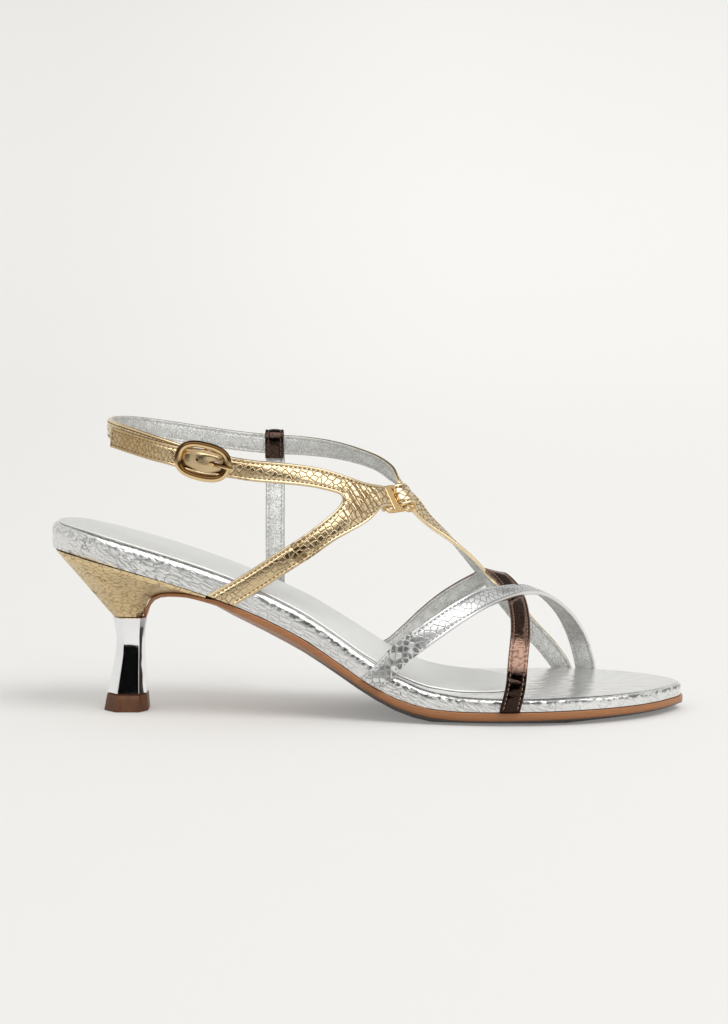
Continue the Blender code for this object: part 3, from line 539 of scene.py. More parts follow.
# Link: two loops joined by a flat bar, with an eye at the lower front corner, lying on the instep between the
# quarter strap and the instep strap.
LINK_CENTRE = (126.1, -6.5, 80.3)
LINK_ALONG = (0.73, 0.68, 0.04)
LINK_RISE = (0.35, -0.33, -0.73)
LINK_WIRE = 0.75
LINK_HALF_LONG = 4.85
LINK_HALF_WIDE = 4.9
LINK_DROP = 0.9
LINK_FULLNESS = 6.0
LINK_BAR_HALF = 1.5
LINK_BAR_DEPTH = 0.65
LINK_BAR_FULLNESS = 5.0
LINK_BAR_SIDES = 32
LINK_BAR_RINGS = 9
LINK_SHARP = 50.0
EYE_PLACE = (6.1, 5.3)
EYE_HALVES = (1.9, 1.2)
EYE_WIRE = 0.65
ROUND = 2.0
CURL_ANGLES = (0.0, 40.0, 80.0, 120.0, 160.0, 195.0)

# Buckle: oval frame, a bar that dips below it, a prong on the front of the frame, and the holes in the strap.
BUCKLE_CENTRE = (58.4, -30.4, 95.8)
BUCKLE_ALONG = (0.972, -0.03, -0.232)
BUCKLE_OUT = (-0.035, -1.0, -0.017)
BUCKLE_HALF_LONG = 9.05
BUCKLE_HALF_WIDE = 5.85
BUCKLE_FULLNESS = 2.6
BUCKLE_WIRE = 1.25
BUCKLE_LIFT = 5.2
BAR_WIRE = 0.7
BAR_LIFT = 2.75
BAR_STRAIGHT = 4.8
BAR_STEPS = 40
FRAME_START = 0.9
FRAME_SPAN = 0.2
PRONG_WIRE = 0.75
PRONG_ROWS = [
    # along, lift
    (1.15, 2.75),
    (3.2, 3.6),
    (5.4, 5.7),
    (7.2, 6.9),
    (9.2, 7.3),
    (11.2, 7.1),
]
PRONG_STEPS = 48
PRONG_TAPER = 8.0
PRONG_POINT = 0.08
HOLE_ROWS = [
    # middle along the buckle, half length, half width
    (4.3, 2.1, 0.85),
    (-2.2, 0.65, 0.65),
]
HOLE_SIDES = 24
WIRE_SIDES = 20
RING_TURNS = 128

# Camera and picture.
PICTURE = (728, 1024)
FOCAL_PIXELS = 2694.0
SENSOR = 36.0
CAMERA_PLACE = (116.1, -1000.0, 168.3)
CAMERA_PITCH = 5.38


def hermite(t, first, last, leave, arrive):
    """Cubic step from one value to the next, with the slopes at which it leaves and arrives."""
    start = (1 + 2 * t) * (1 - t) ** 2 * first + t * (1 - t) ** 2 * leave
    return start + t * t * (3 - 2 * t) * last + t * t * (t - 1) * arrive


def curve(places, values):
    """Smooth curve through the values that never swings past them."""
    places = np.asarray(places, float)
    values = np.asarray(values, float)
    gaps = np.diff(places)
    slopes = np.diff(values) / gaps
    tangents = np.concatenate(([slopes[0]], np.zeros(len(slopes) - 1), [slopes[-1]]))
    for i in range(1, len(slopes)):
        if slopes[i - 1] * slopes[i] > 0:
            before = 2 * gaps[i] + gaps[i - 1]
            after = gaps[i] + 2 * gaps[i - 1]
            tangents[i] = (before + after) / (before / slopes[i - 1] + after / slopes[i])

    def value(place):
        place = np.clip(np.asarray(place, float), places[0], places[-1])
        k = np.clip(np.searchsorted(places, place) - 1, 0, len(gaps) - 1)
        t = (place - places[k]) / gaps[k]
        return hermite(t, values[k], values[k + 1], gaps[k] * tangents[k], gaps[k] * tangents[k + 1])

    return value


def swing(along):
    """Angle that runs evenly round an outline, so that its ends come out round."""
    return np.arccos(1 - 2 * np.clip(along, 0.0, 1.0))


def columns(rows):
    """Columns of a table, as arrays."""
    return np.array(rows, float).T


def resampled(rows, count, first=0.0):
    """Columns of a table at evenly spaced steps along smooth curves through its rows."""
    steps = np.linspace(first, len(rows) - 1, count)
    return [curve(np.arange(len(row)), row)(steps) for row in columns(rows)]


def unit(vector):
    """Vector, or each row of vectors, at length one."""
    vector = np.asarray(vector, float)
    return vector / np.linalg.norm(vector, axis=-1, keepdims=True)


def spans(points):
    """Lengths of the steps of a path."""
    return np.linalg.norm(np.diff(points, axis=0), axis=1)


def path_lengths(points):
    """Length of a path from its start to each of its points."""
    return np.concatenate(([0.0], np.cumsum(spans(points))))


def full_turn(count):
    """Angles spread evenly round a circle."""
    return np.linspace(0.0, 2 * np.pi, count, endpoint=False)


def dimmed(colour, share):
    """Colour at a share of its strength."""
    return tuple(part * share for part in colour)


FOOTBED = columns(FOOTBED_ROWS)
LATERAL = curve(swing(FOOTBED[0]), FOOTBED[1])
MEDIAL = curve(swing(FOOTBED[0]), FOOTBED[2])
SEAM, WALL, ARCH = (curve(FOOTBED[0], FOOTBED[k]) for k in (3, 4, 5))
LAST = columns(LAST_ROWS)
CROWN, CROWN_SIDE, FULLNESS = (curve(LAST[0], LAST[k]) for k in (1, 2, 3))


def lateral(along):
    """Half width of the footbed to its lateral edge."""
    return LATERAL(swing(along))


def medial(along):
    """Half width of the footbed to its medial edge."""
    return MEDIAL(swing(along))


def underside(along, side):
    """Height of the seam under the footbed."""
    across = (side + lateral(along)) / np.maximum(lateral(along) + medial(along), 1.0)
    return SEAM(along) + ARCH(along) * np.clip(across, 0.0, 1.0)


def topside(along, side):
    """Height of the footbed's top."""
    return underside(along, side) + WALL(along)


def last_point(along, turn):
    """Point of the last's skin; beyond its rims it runs straight down the footbed's wall."""
    side = float(CROWN_SIDE(along))
    if turn <= 90.0:
        sign, angle, reach = -1.0, turn, float(lateral(along)) + STRAP_GAP + side
        base = float(topside(along, -lateral(along)))
    else:
        sign, angle, reach = 1.0, 180.0 - turn, float(medial(along)) + STRAP_GAP - side
        base = float(topside(along, medial(along)))
    if angle < 0.0:
        return np.array([along * LENGTH, side + sign * reach, base + angle * WALL_DROP])
    power = 2.0 / float(FULLNESS(along))
    wide = abs(np.cos(np.radians(angle))) ** power
    high = np.sin(np.radians(angle)) ** power
    return np.array([along * LENGTH, side + sign * reach * wide, base + (float(CROWN(along)) - base) * high])


def last_facing(along, turn, reach=0.002, swivel=0.5):
    """Way that the last's skin faces."""
    forward = last_point(along + reach, turn) - last_point(along - reach, turn)
    over = last_point(along, turn + swivel) - last_point(along, turn - swivel)
    return unit(np.cross(forward, over))


def last_rows(rows, half, leather=LEATHER):
    """Strap rows on the last: point, facing, half widths to the left and right, thickness."""
    made = []
    for along, turn, lift in rows:
        facing = last_facing(along, turn)
        made.append(np.concatenate((last_point(along, turn) + facing * lift, facing, (half, half, leather))))
    return made


def free_rows(rows, half, leather=LEATHER):
    """Strap rows in the open, from points and the way their outer face looks."""
    made = []
    for x, y, z, compass, rise in rows:
        bearing, tilt = np.radians(compass), np.radians(rise)
        facing = (np.cos(tilt) * np.cos(bearing), np.cos(tilt) * np.sin(bearing), np.sin(tilt))
        made.append(np.concatenate(((x, y, z), facing, (half, half, leather))))
    return made


def varied_rows(rows):
    """Strap rows in the open, each with a half width of its own."""
    return [free_rows([row], half)[0] for *row, half in rows]


def smooth_rows(rows, step):
    """Rows filled in along a smooth path, about one step apart."""
    rows = np.array(rows)
    tangents = np.gradient(rows, path_lengths(rows[:, :3]), axis=0)
    filled = [rows[0]]
    for k, span in enumerate(spans(rows[:, :3])):
        count = max(1, int(round(span / step)))
        leave, arrive = span * tangents[k], span * tangents[k + 1]
        filled += [hermite(i / count, rows[k], rows[k + 1], leave, arrive) for i in range(1, count + 1)]
    return np.array(filled)


def ribbon(rows):
    """Left and right edges of a strap's inner face, and the thickness of leather that stands on them."""
    points = rows[:, :3]
    tangents = unit(np.gradient(points, axis=0))
    facing = rows[:, 3:6]
    facing = unit(facing - tangents * np.sum(facing * tangents, axis=1, keepdims=True))
    across = np.cross(facing, tangents)
    left = points + across * rows[:, 6:7]
    right = points - across * rows[:, 7:8]
    return left, right, facing * rows[:, 8:9]


def run_to_seam(edge, inner, reach=12.0, halvings=40):
    """Slide the end of a strap's edge along its own line until it meets the seam."""
    direction = unit(edge - inner)
    low, high = -reach, reach
    for _ in range(halvings):
        middle = (low + high) / 2
        point = edge + direction * middle
        above = point[2] > underside(point[0] / LENGTH, point[1]) + CLEARANCE
        low, high = (middle, high) if above else (low, middle)
    return edge + direction * low


def reach_seam(edge, rows):
    """Run the first stretch of a strap's edge down to the seam, in even steps."""
    end = run_to_seam(edge[0], edge[rows])
    share = np.linspace(0.0, 1.0, rows + 1)[:, None]
    edge[:rows + 1] = end * (1 - share) + edge[rows] * share


def curl_rows(axis, heading, facing, radius, halves, leather):
    """Rows of a strap's end that wraps round a bar: over it, past its front and back underneath."""
    rows = []
    for angle in np.radians(CURL_ANGLES):
        out = facing * np.cos(angle) + heading * np.sin(angle)
        rows.append(np.concatenate((axis + out * radius, out, halves, (leather,))))
    return rows


def square_to(vector, along):
    """Direction nearest to a vector that is square to another direction."""
    return unit(np.asarray(vector, float) - along * np.dot(vector, along))


def link_axes():
    """Middle of the link, and the directions along it, down it and out of it."""
    along = unit(LINK_ALONG)
    rise = square_to(LINK_RISE, along)
    return np.asarray(LINK_CENTRE), along, rise, np.cross(rise, along)


def buckle_axes():
    """Middle of the buckle, and the directions along it, across it and out of it."""
    along = unit(BUCKLE_ALONG)
    outward = square_to(BUCKLE_OUT, along)
    return np.asarray(BUCKLE_CENTRE), along, np.cross(outward, along), outward


def sheet(index):
    """Four-sided faces of a grid of point numbers."""
    corners = (index[:-1, :-1], index[:-1, 1:], index[1:, 1:], index[1:, :-1])
    return np.stack(corners, axis=-1).reshape(-1, 4)


def tube_faces(rows, count):
    """Faces of a tube of closed rings, without its ends."""
    index = np.arange(rows * count).reshape(rows, count)
    return sheet(np.concatenate((index, index[:, :1]), axis=1))


def capped_tube(rings):
    """Closed skin through rings of points, with a face on each end."""
    rings = np.asarray(rings, float)
    rows, count = rings.shape[:2]
    faces = tube_faces(rows, count).tolist()
    faces += [list(range(count)), list(range((rows - 1) * count, rows * count))]
    return rings.reshape(-1, 3), faces


def join_skins(skins):
    """Points and faces of several skins as those of one."""
    points, faces, count = [], [], 0
    for some, more in skins:
        faces += [[corner + count for corner in face] for face in more]
        points.append(some)
        count += len(some)
    return np.concatenate(points), faces


def outline(lateral_of, medial_of, first, last, stations):
    """Plan outline, from the heel along the lateral side to the toe and back along the medial side."""
    angles = np.linspace(0.0, np.pi, stations)
    places = (first + (last - first) * (1 - np.cos(angles)) / 2) * LENGTH
    near = np.stack((places, -lateral_of(angles)), axis=1)
    far = np.stack((places, medial_of(angles)), axis=1)
    return np.concatenate((near, far[-2:0:-1]))


def inset(points, distance):
    """Plan outline moved in by a distance."""
    tangents = unit(np.roll(points, -1, axis=0) - np.roll(points, 1, axis=0))
    return points + distance * np.stack((-tangents[:, 1], tangents[:, 0]), axis=1)


def raised(points, height_of, offset=0.0):
    """Plan outline laid on a surface, or by an offset over it."""
    heights = height_of(points[:, 0] / LENGTH, points[:, 1]) + offset
    return np.column_stack((points, heights))


class Shader:
    """Node tree of one material, with a short call for each kind of node that it needs."""

    def __init__(self, name, colour, metal, roughness, **sockets):
        self.material = bpy.data.materials.new(name)
        self.material.use_nodes = True
        self.tree = self.material.node_tree
        self.surface = self.tree.nodes["Principled BSDF"]
        self.put("Metallic", metal)
        self.put("Base Color", (*colour, 1.0))
        self.put("Roughness", roughness)
        for socket, value in sockets.items():
            self.put(socket.replace("_", " "), value)

    def feed(self, socket, value):
        """Link another node's output to a socket, or set the socket's own value."""
        if isinstance(value, bpy.types.NodeSocket):
            self.tree.links.new(value, socket)
        else:
            socket.default_value = value

    def put(self, socket, value):
        """Feed a socket of the surface."""
        self.feed(self.surface.inputs[socket], value)

    def add(self, kind, inputs, **settings):
        """New node with its inputs and settings."""
        node = self.tree.nodes.new("ShaderNode" + kind)
        for name, value in settings.items():
            setattr(node, name, value)
        for key, value in inputs.items():
            self.feed(node.inputs[key], value)
        return node

    def place(self, source, per_millimetre, turn=None):
        """Coordinates in cells of the given size; a strap's own map counts centimetres, an object metres."""
        scale = np.ones(3) * per_millimetre * (UV_MM if source == "UV" else 1 / MM)
        place = self.add("TexCoord", {}).outputs[source]
        if turn:
            place = self.add("Mapping", {"Vector": place, "Rotation": turn}).outputs["Vector"]
        return self.vector("MULTIPLY", place, scale.tolist())

    def math(self, operation, first, second):
        return self.add("Math", {0: first, 1: second}, operation=operation).outputs[0]

    def times(self, first, second):
        return self.math("MULTIPLY", first, second)

    def vector(self, operation, first, second):
        node = self.add("VectorMath", {0: first, 1: second}, operation=operation)
        return node.outputs["Value" if operation == "DOT_PRODUCT" else "Vector"]

    def noise(self, place, scale, detail=3.0, output="Fac"):
        return self.add("TexNoise", {"Vector": place, "Scale": scale, "Detail": detail}).outputs[output]

    def grain(self, per_millimetre, detail=3.0, source="Object"):
        """Noise in cells of the given size."""
        return self.noise(self.place(source, per_millimetre), 1.0, detail)

    def warped(self, place, scale, reach):
        """Coordinates pushed about by a slow noise."""
        wave = self.noise(place, scale, output="Color")
        return self.vector("ADD", place, self.vector("MULTIPLY", wave, reach))

    def cells(self, place, feature, flat, randomness):
        """Outputs of a pattern of cells, flat or in depth."""
        inputs = {"Vector": place, "Scale": 1.0, "Randomness": randomness}
        space = "2D" if flat else "3D"
        return self.add("TexVoronoi", inputs, feature=feature, voronoi_dimensions=space).outputs

    def ramp(self, value, low, high, start=0.0, end=1.0):
        """Smooth step from start to end while the value runs from low to high."""
        inputs = {"Value": value, "From Min": low, "From Max": high, "To Min": start, "To Max": end}
        return self.add("MapRange", inputs, interpolation_type="SMOOTHSTEP").outputs["Result"]

    def blend(self, share, first, second):
        """Mix of two colours, each given as a colour or as another node's output."""
        first, second = ((*part, 1.0) if isinstance(part, tuple) else part for part in (first, second))
        return self.add("Mix", {0: share, 6: first, 7: second}, data_type="RGBA").outputs[2]

    def attribute(self, name):
        return self.add("Attribute", {}, attribute_name=name).outputs["Fac"]

    def bump(self, *layers):
        """Relief from layers of (height, depth in millimetres), one over the other."""
        normal = None
        for height, depth in layers:
            inputs = {"Height": height, "Distance": depth * MM}
            if normal is not None:
                inputs["Normal"] = normal
            normal = self.add("Bump", inputs).outputs["Normal"]
        self.put("Normal", normal)


def scale_leather(name, colour, groove, gloss, cell=2.2, slant=0.785, randomness=0.6):
    """Metallic leather pressed with small flat scales, some of them filled with painted dark reflection,
    plain along its turned edges.
    """
    shader = Shader(name, colour, 1.0, gloss)
    place = shader.warped(shader.place("UV", 1 / cell, (0.0, 0.0, slant)), 0.45, (0.8, 0.8, 0.0))
    near = shader.cells(place, "F1", True, randomness)
    edge = shader.cells(place, "DISTANCE_TO_EDGE", True, randomness)["Distance"]
    inland = shader.attribute("inland")
    offset = shader.vector("SUBTRACT", place, near["Position"])
    lean = shader.vector("SUBTRACT", near["Color"], (0.5, 0.5, 0.5))
    tilt = shader.times(shader.vector("DOT_PRODUCT", offset, lean), inland)
    dome = shader.times(shader.ramp(edge, 0.0, 0.16), inland)
    line = shader.times(shader.ramp(edge, 0.03, 0.125, 1.0, 0.0), inland)
    # Painted shade: the troughs between the quarter strap's pleats take the line colour.
    line = shader.math("MAXIMUM", line, shader.attribute("trough"))
    # Painted dark reflection: marked scale cells are filled with a dark colour.
    some = shader.times(shader.attribute("dark"), shader.ramp(near["Color"], 0.3, 0.45))
    filled = shader.times(some, shader.ramp(edge, 0.06, 0.16))
    # Painted shade: marked places and the buckle's opening darken towards a deep groove colour.
    base = shader.blend(shader.attribute("shade"), colour, dimmed(groove, 1.45))
    base = shader.blend(line, base, dimmed(groove, 0.75))
    shader.put("Base Color", shader.blend(filled, base, dimmed(groove, 0.45)))
    shader.put("Roughness", shader.ramp(line, 0.0, 1.0, gloss, 0.45))
    grain = shader.noise(shader.place("UV", 1.0), 3.0)
    shader.bump((dome, 0.05), (tilt, 0.07), (grain, 0.02))
    return shader.material


def mirror_leather(name, colour, groove):
    """Smooth metallic leather with fine crinkles, a few soft creases across it, and painted dark reflection
    where marked.
    """
    shader = Shader(name, colour, 1.0, 0.16)
    crease = shader.noise(shader.place("UV", (0.35, 0.12, 1.0)), 1.6, 2.0)
    crinkle = shader.grain((1.0, 0.7, 1.0), source="UV")
    base = shader.blend(shader.ramp(crinkle, 0.3, 0.6), groove, colour)
    # Painted dark reflection on the marked stretch of the strap.
    shader.put("Base Color", shader.blend(shader.attribute("dark"), base, dimmed(groove, 0.25)))
    shader.put("Roughness", shader.ramp(crease, 0.3, 0.7, 0.08, 0.16))
    shader.bump((crease, 0.08), (crinkle, 0.03))
    return shader.material


def lining_leather(name, colour, shade):
    """Thin matt metallic lining with a fine speckled grain."""
    shader = Shader(name, colour, 0.75, 0.42)
    place = shader.place("Object", 1.0)
    speckle = shader.noise(place, 2.4)
    patch = shader.noise(place, 0.35, 2.0)
    shown = shader.times(shader.ramp(speckle, 0.44, 0.6, 1.0, 0.0), shader.ramp(patch, 0.3, 0.6, 0.35, 1.0))
    shader.put("Base Color", shader.blend(shown, colour, shade))
    shader.put("Roughness", shader.ramp(speckle, 0.35, 0.7, 0.55, 0.36))
    shader.bump((speckle, 0.2))
    return shader.material


def platform_leather(name, colour, shade, groove):
    """Silver leather: long crackle on its wall, painted dark reflection in dashes under its rim, faint
    ripples on its top.
    """
    shader = Shader(name, colour, 1.0, 0.3)
    top = shader.math("SUBTRACT", 1.0, shader.attribute("wall"))
    cells = shader.place("Object", (1 / 4.4, 1 / 4.4, 1 / 1.4), (0.0, -0.5, 0.0))
    cells = shader.warped(cells, 0.5, (0.8, 0.8, 0.8))
    edge = shader.cells(cells, "DISTANCE_TO_EDGE", False, 0.85)["Distance"]
    shown = shader.attribute("crackle")
    dome = shader.times(shader.ramp(edge, 0.0, 0.35), shown)
    crack = shader.times(shader.ramp(edge, 0.0, 0.07, 1.0, 0.0), shown)
    crack = shader.times(crack, shader.ramp(shader.grain(0.16), 0.35, 0.6, 0.25, 1.0))
    # Painted dark reflection: small dark dashes under the rim.
    painted_dash = shader.ramp(shader.grain((1 / 2.0, 1 / 2.0, 1 / 1.2), 2.0), 0.45, 0.55)
    painted_dash = shader.times(painted_dash, shader.attribute("painted_reflection_dashes"))
    ripple = shader.times(shader.grain((1 / 10, 1 / 5, 1 / 10), 2.0), top)
    mottle = shader.grain(0.5)
    base = shader.blend(shader.ramp(mottle, 0.3, 0.7), shade, colour)
    base = shader.blend(crack, base, groove)
    shader.put("Base Color", shader.blend(painted_dash, base, dimmed(groove, 0.2)))
    shader.put("Roughness", shader.ramp(top, 0.2, 0.9, 0.29, 0.21))
    shader.bump((dome, 0.075), (ripple, 0.45), (mottle, 0.02))
    return shader.material


def sock_leather(name, colour, shade):
    """Smooth matt silver insole."""
    shader = Shader(name, colour, 0.55, 0.5)
    place = shader.place("Object", 0.3)
    cloud = shader.noise(place, 0.4, 2.0)
    pore = shader.noise(place, 8.0, 2.0)
    shader.put("Base Color", shader.blend(cloud, shade, colour))
    shader.put("Roughness", shader.ramp(pore, 0.3, 0.7, 0.46, 0.56))
    shader.bump((pore, 0.03))
    return shader.material


def heel_leather(name, colour, shade, groove):
    """Gold leather drawn round the heel, with fine wavy scale lines."""
    shader = Shader(name, colour, 1.0, 0.34)
    place = shader.place("Object", (1 / 3.0, 1 / 3.0, 1 / 1.1), (0.0, -0.15, 0.0))
    place = shader.warped(place, 0.5, (0.9, 0.9, 0.9))
    edge = shader.cells(place, "DISTANCE_TO_EDGE", False, 0.9)["Distance"]
    line = shader.ramp(edge, 0.0, 0.08, 1.0, 0.0)
    mottle = shader.grain(0.4)
    base = shader.blend(shader.ramp(mottle, 0.3, 0.7), shade, colour)
    strength = shader.times(line, shader.ramp(shader.grain(0.12), 0.35, 0.65, 0.55, 1.0))
    shader.put("Base Color", shader.blend(strength, base, groove))
    shader.put("Roughness", shader.ramp(mottle, 0.3, 0.7, 0.40, 0.30))
    shader.bump((line, -0.05), (mottle, 0.04))
    return shader.material


def sole_leather(name, colour, shade, painted_contact_shadow):
    """Waxed tan sole with a faint lengthwise grain, painted shade down its edge and a painted contact shadow
    by the floor.
    """
    shader = Shader(name, colour, 0.0, 0.42, Coat_Roughness=0.3, Specular_IOR_Level=0.3)
    drop = shader.attribute("drop")
    streak = shader.ramp(shader.grain((0.06, 0.3, 1.6), 4.0), 0.3, 0.7, 0.7, 1.0)
    fleck = shader.grain(0.8, 2.0)
    # Painted shade: lighter at the top of the edge, darker down it; then a painted contact shadow next to the
    # floor.
    base = shader.blend(shader.times(streak, shader.ramp(drop, 0.3, 0.9, 1.0, 0.0)), shade, colour)
    shader.put("Base Color", shader.blend(shader.ramp(drop, 0.78, 0.96), base, painted_contact_shadow))
    shader.put("Coat Weight", shader.ramp(drop, 0.6, 0.9, 0.25, 0.0))
    shader.put("Roughness", shader.ramp(fleck, 0.3, 0.7, 0.36, 0.5))
    shader.bump((fleck, 0.05))
    return shader.material


def rubber(name, colour, shade):
    """Hard rubber of the top lift, faintly streaked from its mould."""
    shader = Shader(name, colour, 0.0, 0.45, Specular_IOR_Level=0.25)
    streak = shader.grain((0.5, 0.5, 0.1), 2.0)
    shader.put("Base Color", shader.blend(shader.ramp(streak, 0.35, 0.65), shade, colour))
    shader.put("Roughness", shader.ramp(streak, 0.3, 0.7, 0.4, 0.5))
    shader.bump((streak, 0.06))
    return shader.material


def polished_metal(name, colour, roughness, wave_height, painted_top_reflection=None):
    """Plated metal with the soft unevenness that polishing leaves; given a dark colour, it is painted darker
    where it faces up, as painted dark reflection.
    """
    shader = Shader(name, colour, 1.0, roughness)
    # Painted dark reflection on faces that look up.
    if painted_top_reflection:
        facing = shader.add("SeparateXYZ", {0: shader.add("TexCoord", {}).outputs["Normal"]}).outputs["Z"]
        shader.put("Base Color", shader.blend(shader.ramp(facing, -0.25, 0.1), colour, painted_top_reflection))
    shader.put("Roughness", shader.ramp(shader.grain(0.7, 2.0), 0.4, 0.8, roughness, roughness * 1.8))
    shader.bump((shader.grain(0.12, 1.0), wave_height))
    return shader.material


def thread(name, colour, shade):
    """Twisted sewing thread."""
    shader = Shader(name, colour, 0.0, 0.6)
    twist = shader.grain(3.0, 1.0)
    shader.put("Base Color", shader.blend(twist, shade, colour))
    shader.bump((twist, 0.05))
    return shader.material


def face_outwards(mesh):
    """Turn all faces of a mesh to look out of it."""
    work = bmesh.new()
    work.from_mesh(mesh)
    bmesh.ops.recalc_face_normals(work, faces=work.faces)
    work.to_mesh(mesh)
    work.free()


def add_values(mesh, values):
    """Named amounts at the points of a mesh, for its material to read."""
    for key, amounts in values.items():
        layer = mesh.attributes.new(key, "FLOAT", "POINT")
        layer.data.foreach_set("value", np.asarray(amounts, np.float32))


def make_mesh(name, points, faces, materials, indices=None, uv=None, values=None):
    """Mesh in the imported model's frame from points in the shoe's own millimetres."""
    mesh = bpy.data.meshes.new(name)
    placed = (np.asarray(points) + SHIFT) * MM
    mesh.from_pydata(placed.tolist(), [], [list(map(int, face)) for face in faces])
    for material in materials:
        mesh.materials.append(material)
    if indices is not None:
        mesh.polygons.foreach_set("material_index", np.asarray(indices, np.int32))
    if uv is not None:
        corners = np.empty(len(mesh.loops), np.int32)
        mesh.loops.foreach_get("vertex_index", corners)
        mesh.uv_layers.new(name="UVMap").data.foreach_set("uv", np.asarray(uv, np.float32)[corners].ravel())
    add_values(mesh, values or {})
    face_outwards(mesh)
    mesh.shade_smooth()
    return mesh


def add_object(name, data):
    """New object in the scene."""
    made = bpy.data.objects.new(name, data)
    bpy.context.scene.collection.objects.link(made)
    return made


def make_piece(name, mesh, slot, *nodes):
    """Piece of the shoe that rides on its one body and stands for the named solids."""
    piece = add_object(name, mesh)
    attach(piece, "root")
    if nodes:
        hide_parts(*nodes)
    return piece


def sharpen(mesh, angle):
    """Keep the edges crisp that turn by more than an angle."""
    mesh.set_sharp_from_angle(angle=np.radians(angle))
    return mesh


def stitches(line, facing):
    """Skins of the stitches along a line: short threads that dip into the leather at both ends."""
    places = path_lengths(line)
    starts = np.arange(STITCH_PITCH / 2, places[-1] - STITCH_PITCH, STITCH_PITCH)

    def at(values, place):
        return np.stack([np.interp(place, places, values[:, k]) for k in range(3)], axis=1)

    first, last = at(line, starts), at(line, starts + STITCH_LENGTH)
    up = unit(at(facing, starts + STITCH_LENGTH / 2))
    side = unit(np.cross(up, last - first))
    turns = full_turn(STITCH_SIDES)
    rings = []
    for share, radius, rise in STITCH_ROWS:
        middle = first + (last - first) * share + up * rise
        rings.append([middle + side * radius * np.cos(turn) + up * radius * np.sin(turn) for turn in turns])
    return [capped_tube(stitch) for stitch in np.transpose(np.array(rings), (2, 0, 1, 3))]


def sew(name, lines, material, slot):
    """One piece of all the stitches of a strap."""
    skin = join_skins(stitch for line, facing in lines for stitch in stitches(line, facing))
    make_piece(name, make_mesh(name, *skin, [material]), slot)


def strap_columns():
    """Points round a strap's section: side, inset from that edge, height, and if on the outer face."""
    section = []
    sides = ((1.0, OUTER_PROFILE, OUTER_DOME, True), (-1.0, INNER_PROFILE, INNER_DOME, False))
    for first, profile, dome, outer in sides:
        section += [(first, cut, high, outer) for cut, high in profile]
        section.append((0.0, 0.0, dome, outer))
        section += [(-first, cut, high, outer) for cut, high in profile[::-1]]
    return section


def inland_share(gap):
    """How far a point at this distance from a strap's edge lies past the plain turned edge."""
    low, high = PLAIN_EDGE
    share = np.clip((gap - low) / (high - low), 0.0, 1.0)
    return share * share * (3 - 2 * share)


def dress_strap(name, rows, looks, slot, nodes=(), seams=(False, False), creases=(), marks=EVEN_MARKS):
    """Strap with turned edges, a lining, stitches on both faces and creases; its ends may run to the seam."""
    leather, lining, yarn, back_yarn = looks
    left, right, leather_way = ribbon(smooth_rows(rows, FINE))
    for edge in (left, right):
        for in_seam, ordered in zip(seams, (edge, edge[::-1])):
            if in_seam:
                reach_seam(ordered, SEAM_ROWS)
    middle = (left + right) / 2
    half = np.linalg.norm(left - right, axis=1, keepdims=True) / 2
    across = (left - right) / (2 * half)
    thick = np.linalg.norm(leather_way, axis=1, keepdims=True)
    facing = leather_way / thick
    along = path_lengths(middle)

    def at(side, cut, high, outer):
        return middle + across * side * (half - cut) + facing * (thick + high if outer else high)

    section = strap_columns()
    rings = np.stack([at(*column) for column in section], axis=1)
    sideways = np.stack([side * (half[:, 0] - cut) for side, cut, _, _ in section], axis=1)
    outer = np.array([outer for _, _, _, outer in section], float)
    for place, slant, width, depth in creases:
        trough = np.exp(-((along[:, None] - place - slant * sideways) / width) ** 2)
        rings -= facing[:, None] * (depth * trough * outer)[..., None]
    uv = np.stack((np.repeat(along, len(section)), sideways.ravel()), axis=1) / UV_MM
    backed = [not outer and (side == 0.0 or cut >= LINING_INSET) for side, cut, _, outer in section]
    inside = [int(a and b) for a, b in zip(backed, backed[1:] + backed[:1])]
    indices = inside * (len(rings) - 1) + [0, 0]
    # The marks' dark share is painted dark reflection, filled into scale cells by the leather.
    places, scales, dark = columns(marks)
    inland = inland_share(half - np.abs(sideways)) * np.interp(along, places, scales)[:, None]
    values = {"inland": inland.ravel(), "dark": np.repeat(np.interp(along, places, dark), len(section))}
    mesh = make_mesh(name, *capped_tube(rings), [leather, lining], indices, uv, values)
    make_piece(name, mesh, slot, *nodes)
    outer_lines = [(at(side, STITCH_INSET, STITCH_SINK, True), facing) for side in (1.0, -1.0)]
    inner_lines = [(at(side, STITCH_INSET, -STITCH_SINK, False), -facing) for side in (1.0, -1.0)]
    sew(name + "_stitches", outer_lines, yarn, slot)
    sew(name + "_back_stitches", inner_lines, back_yarn, slot)


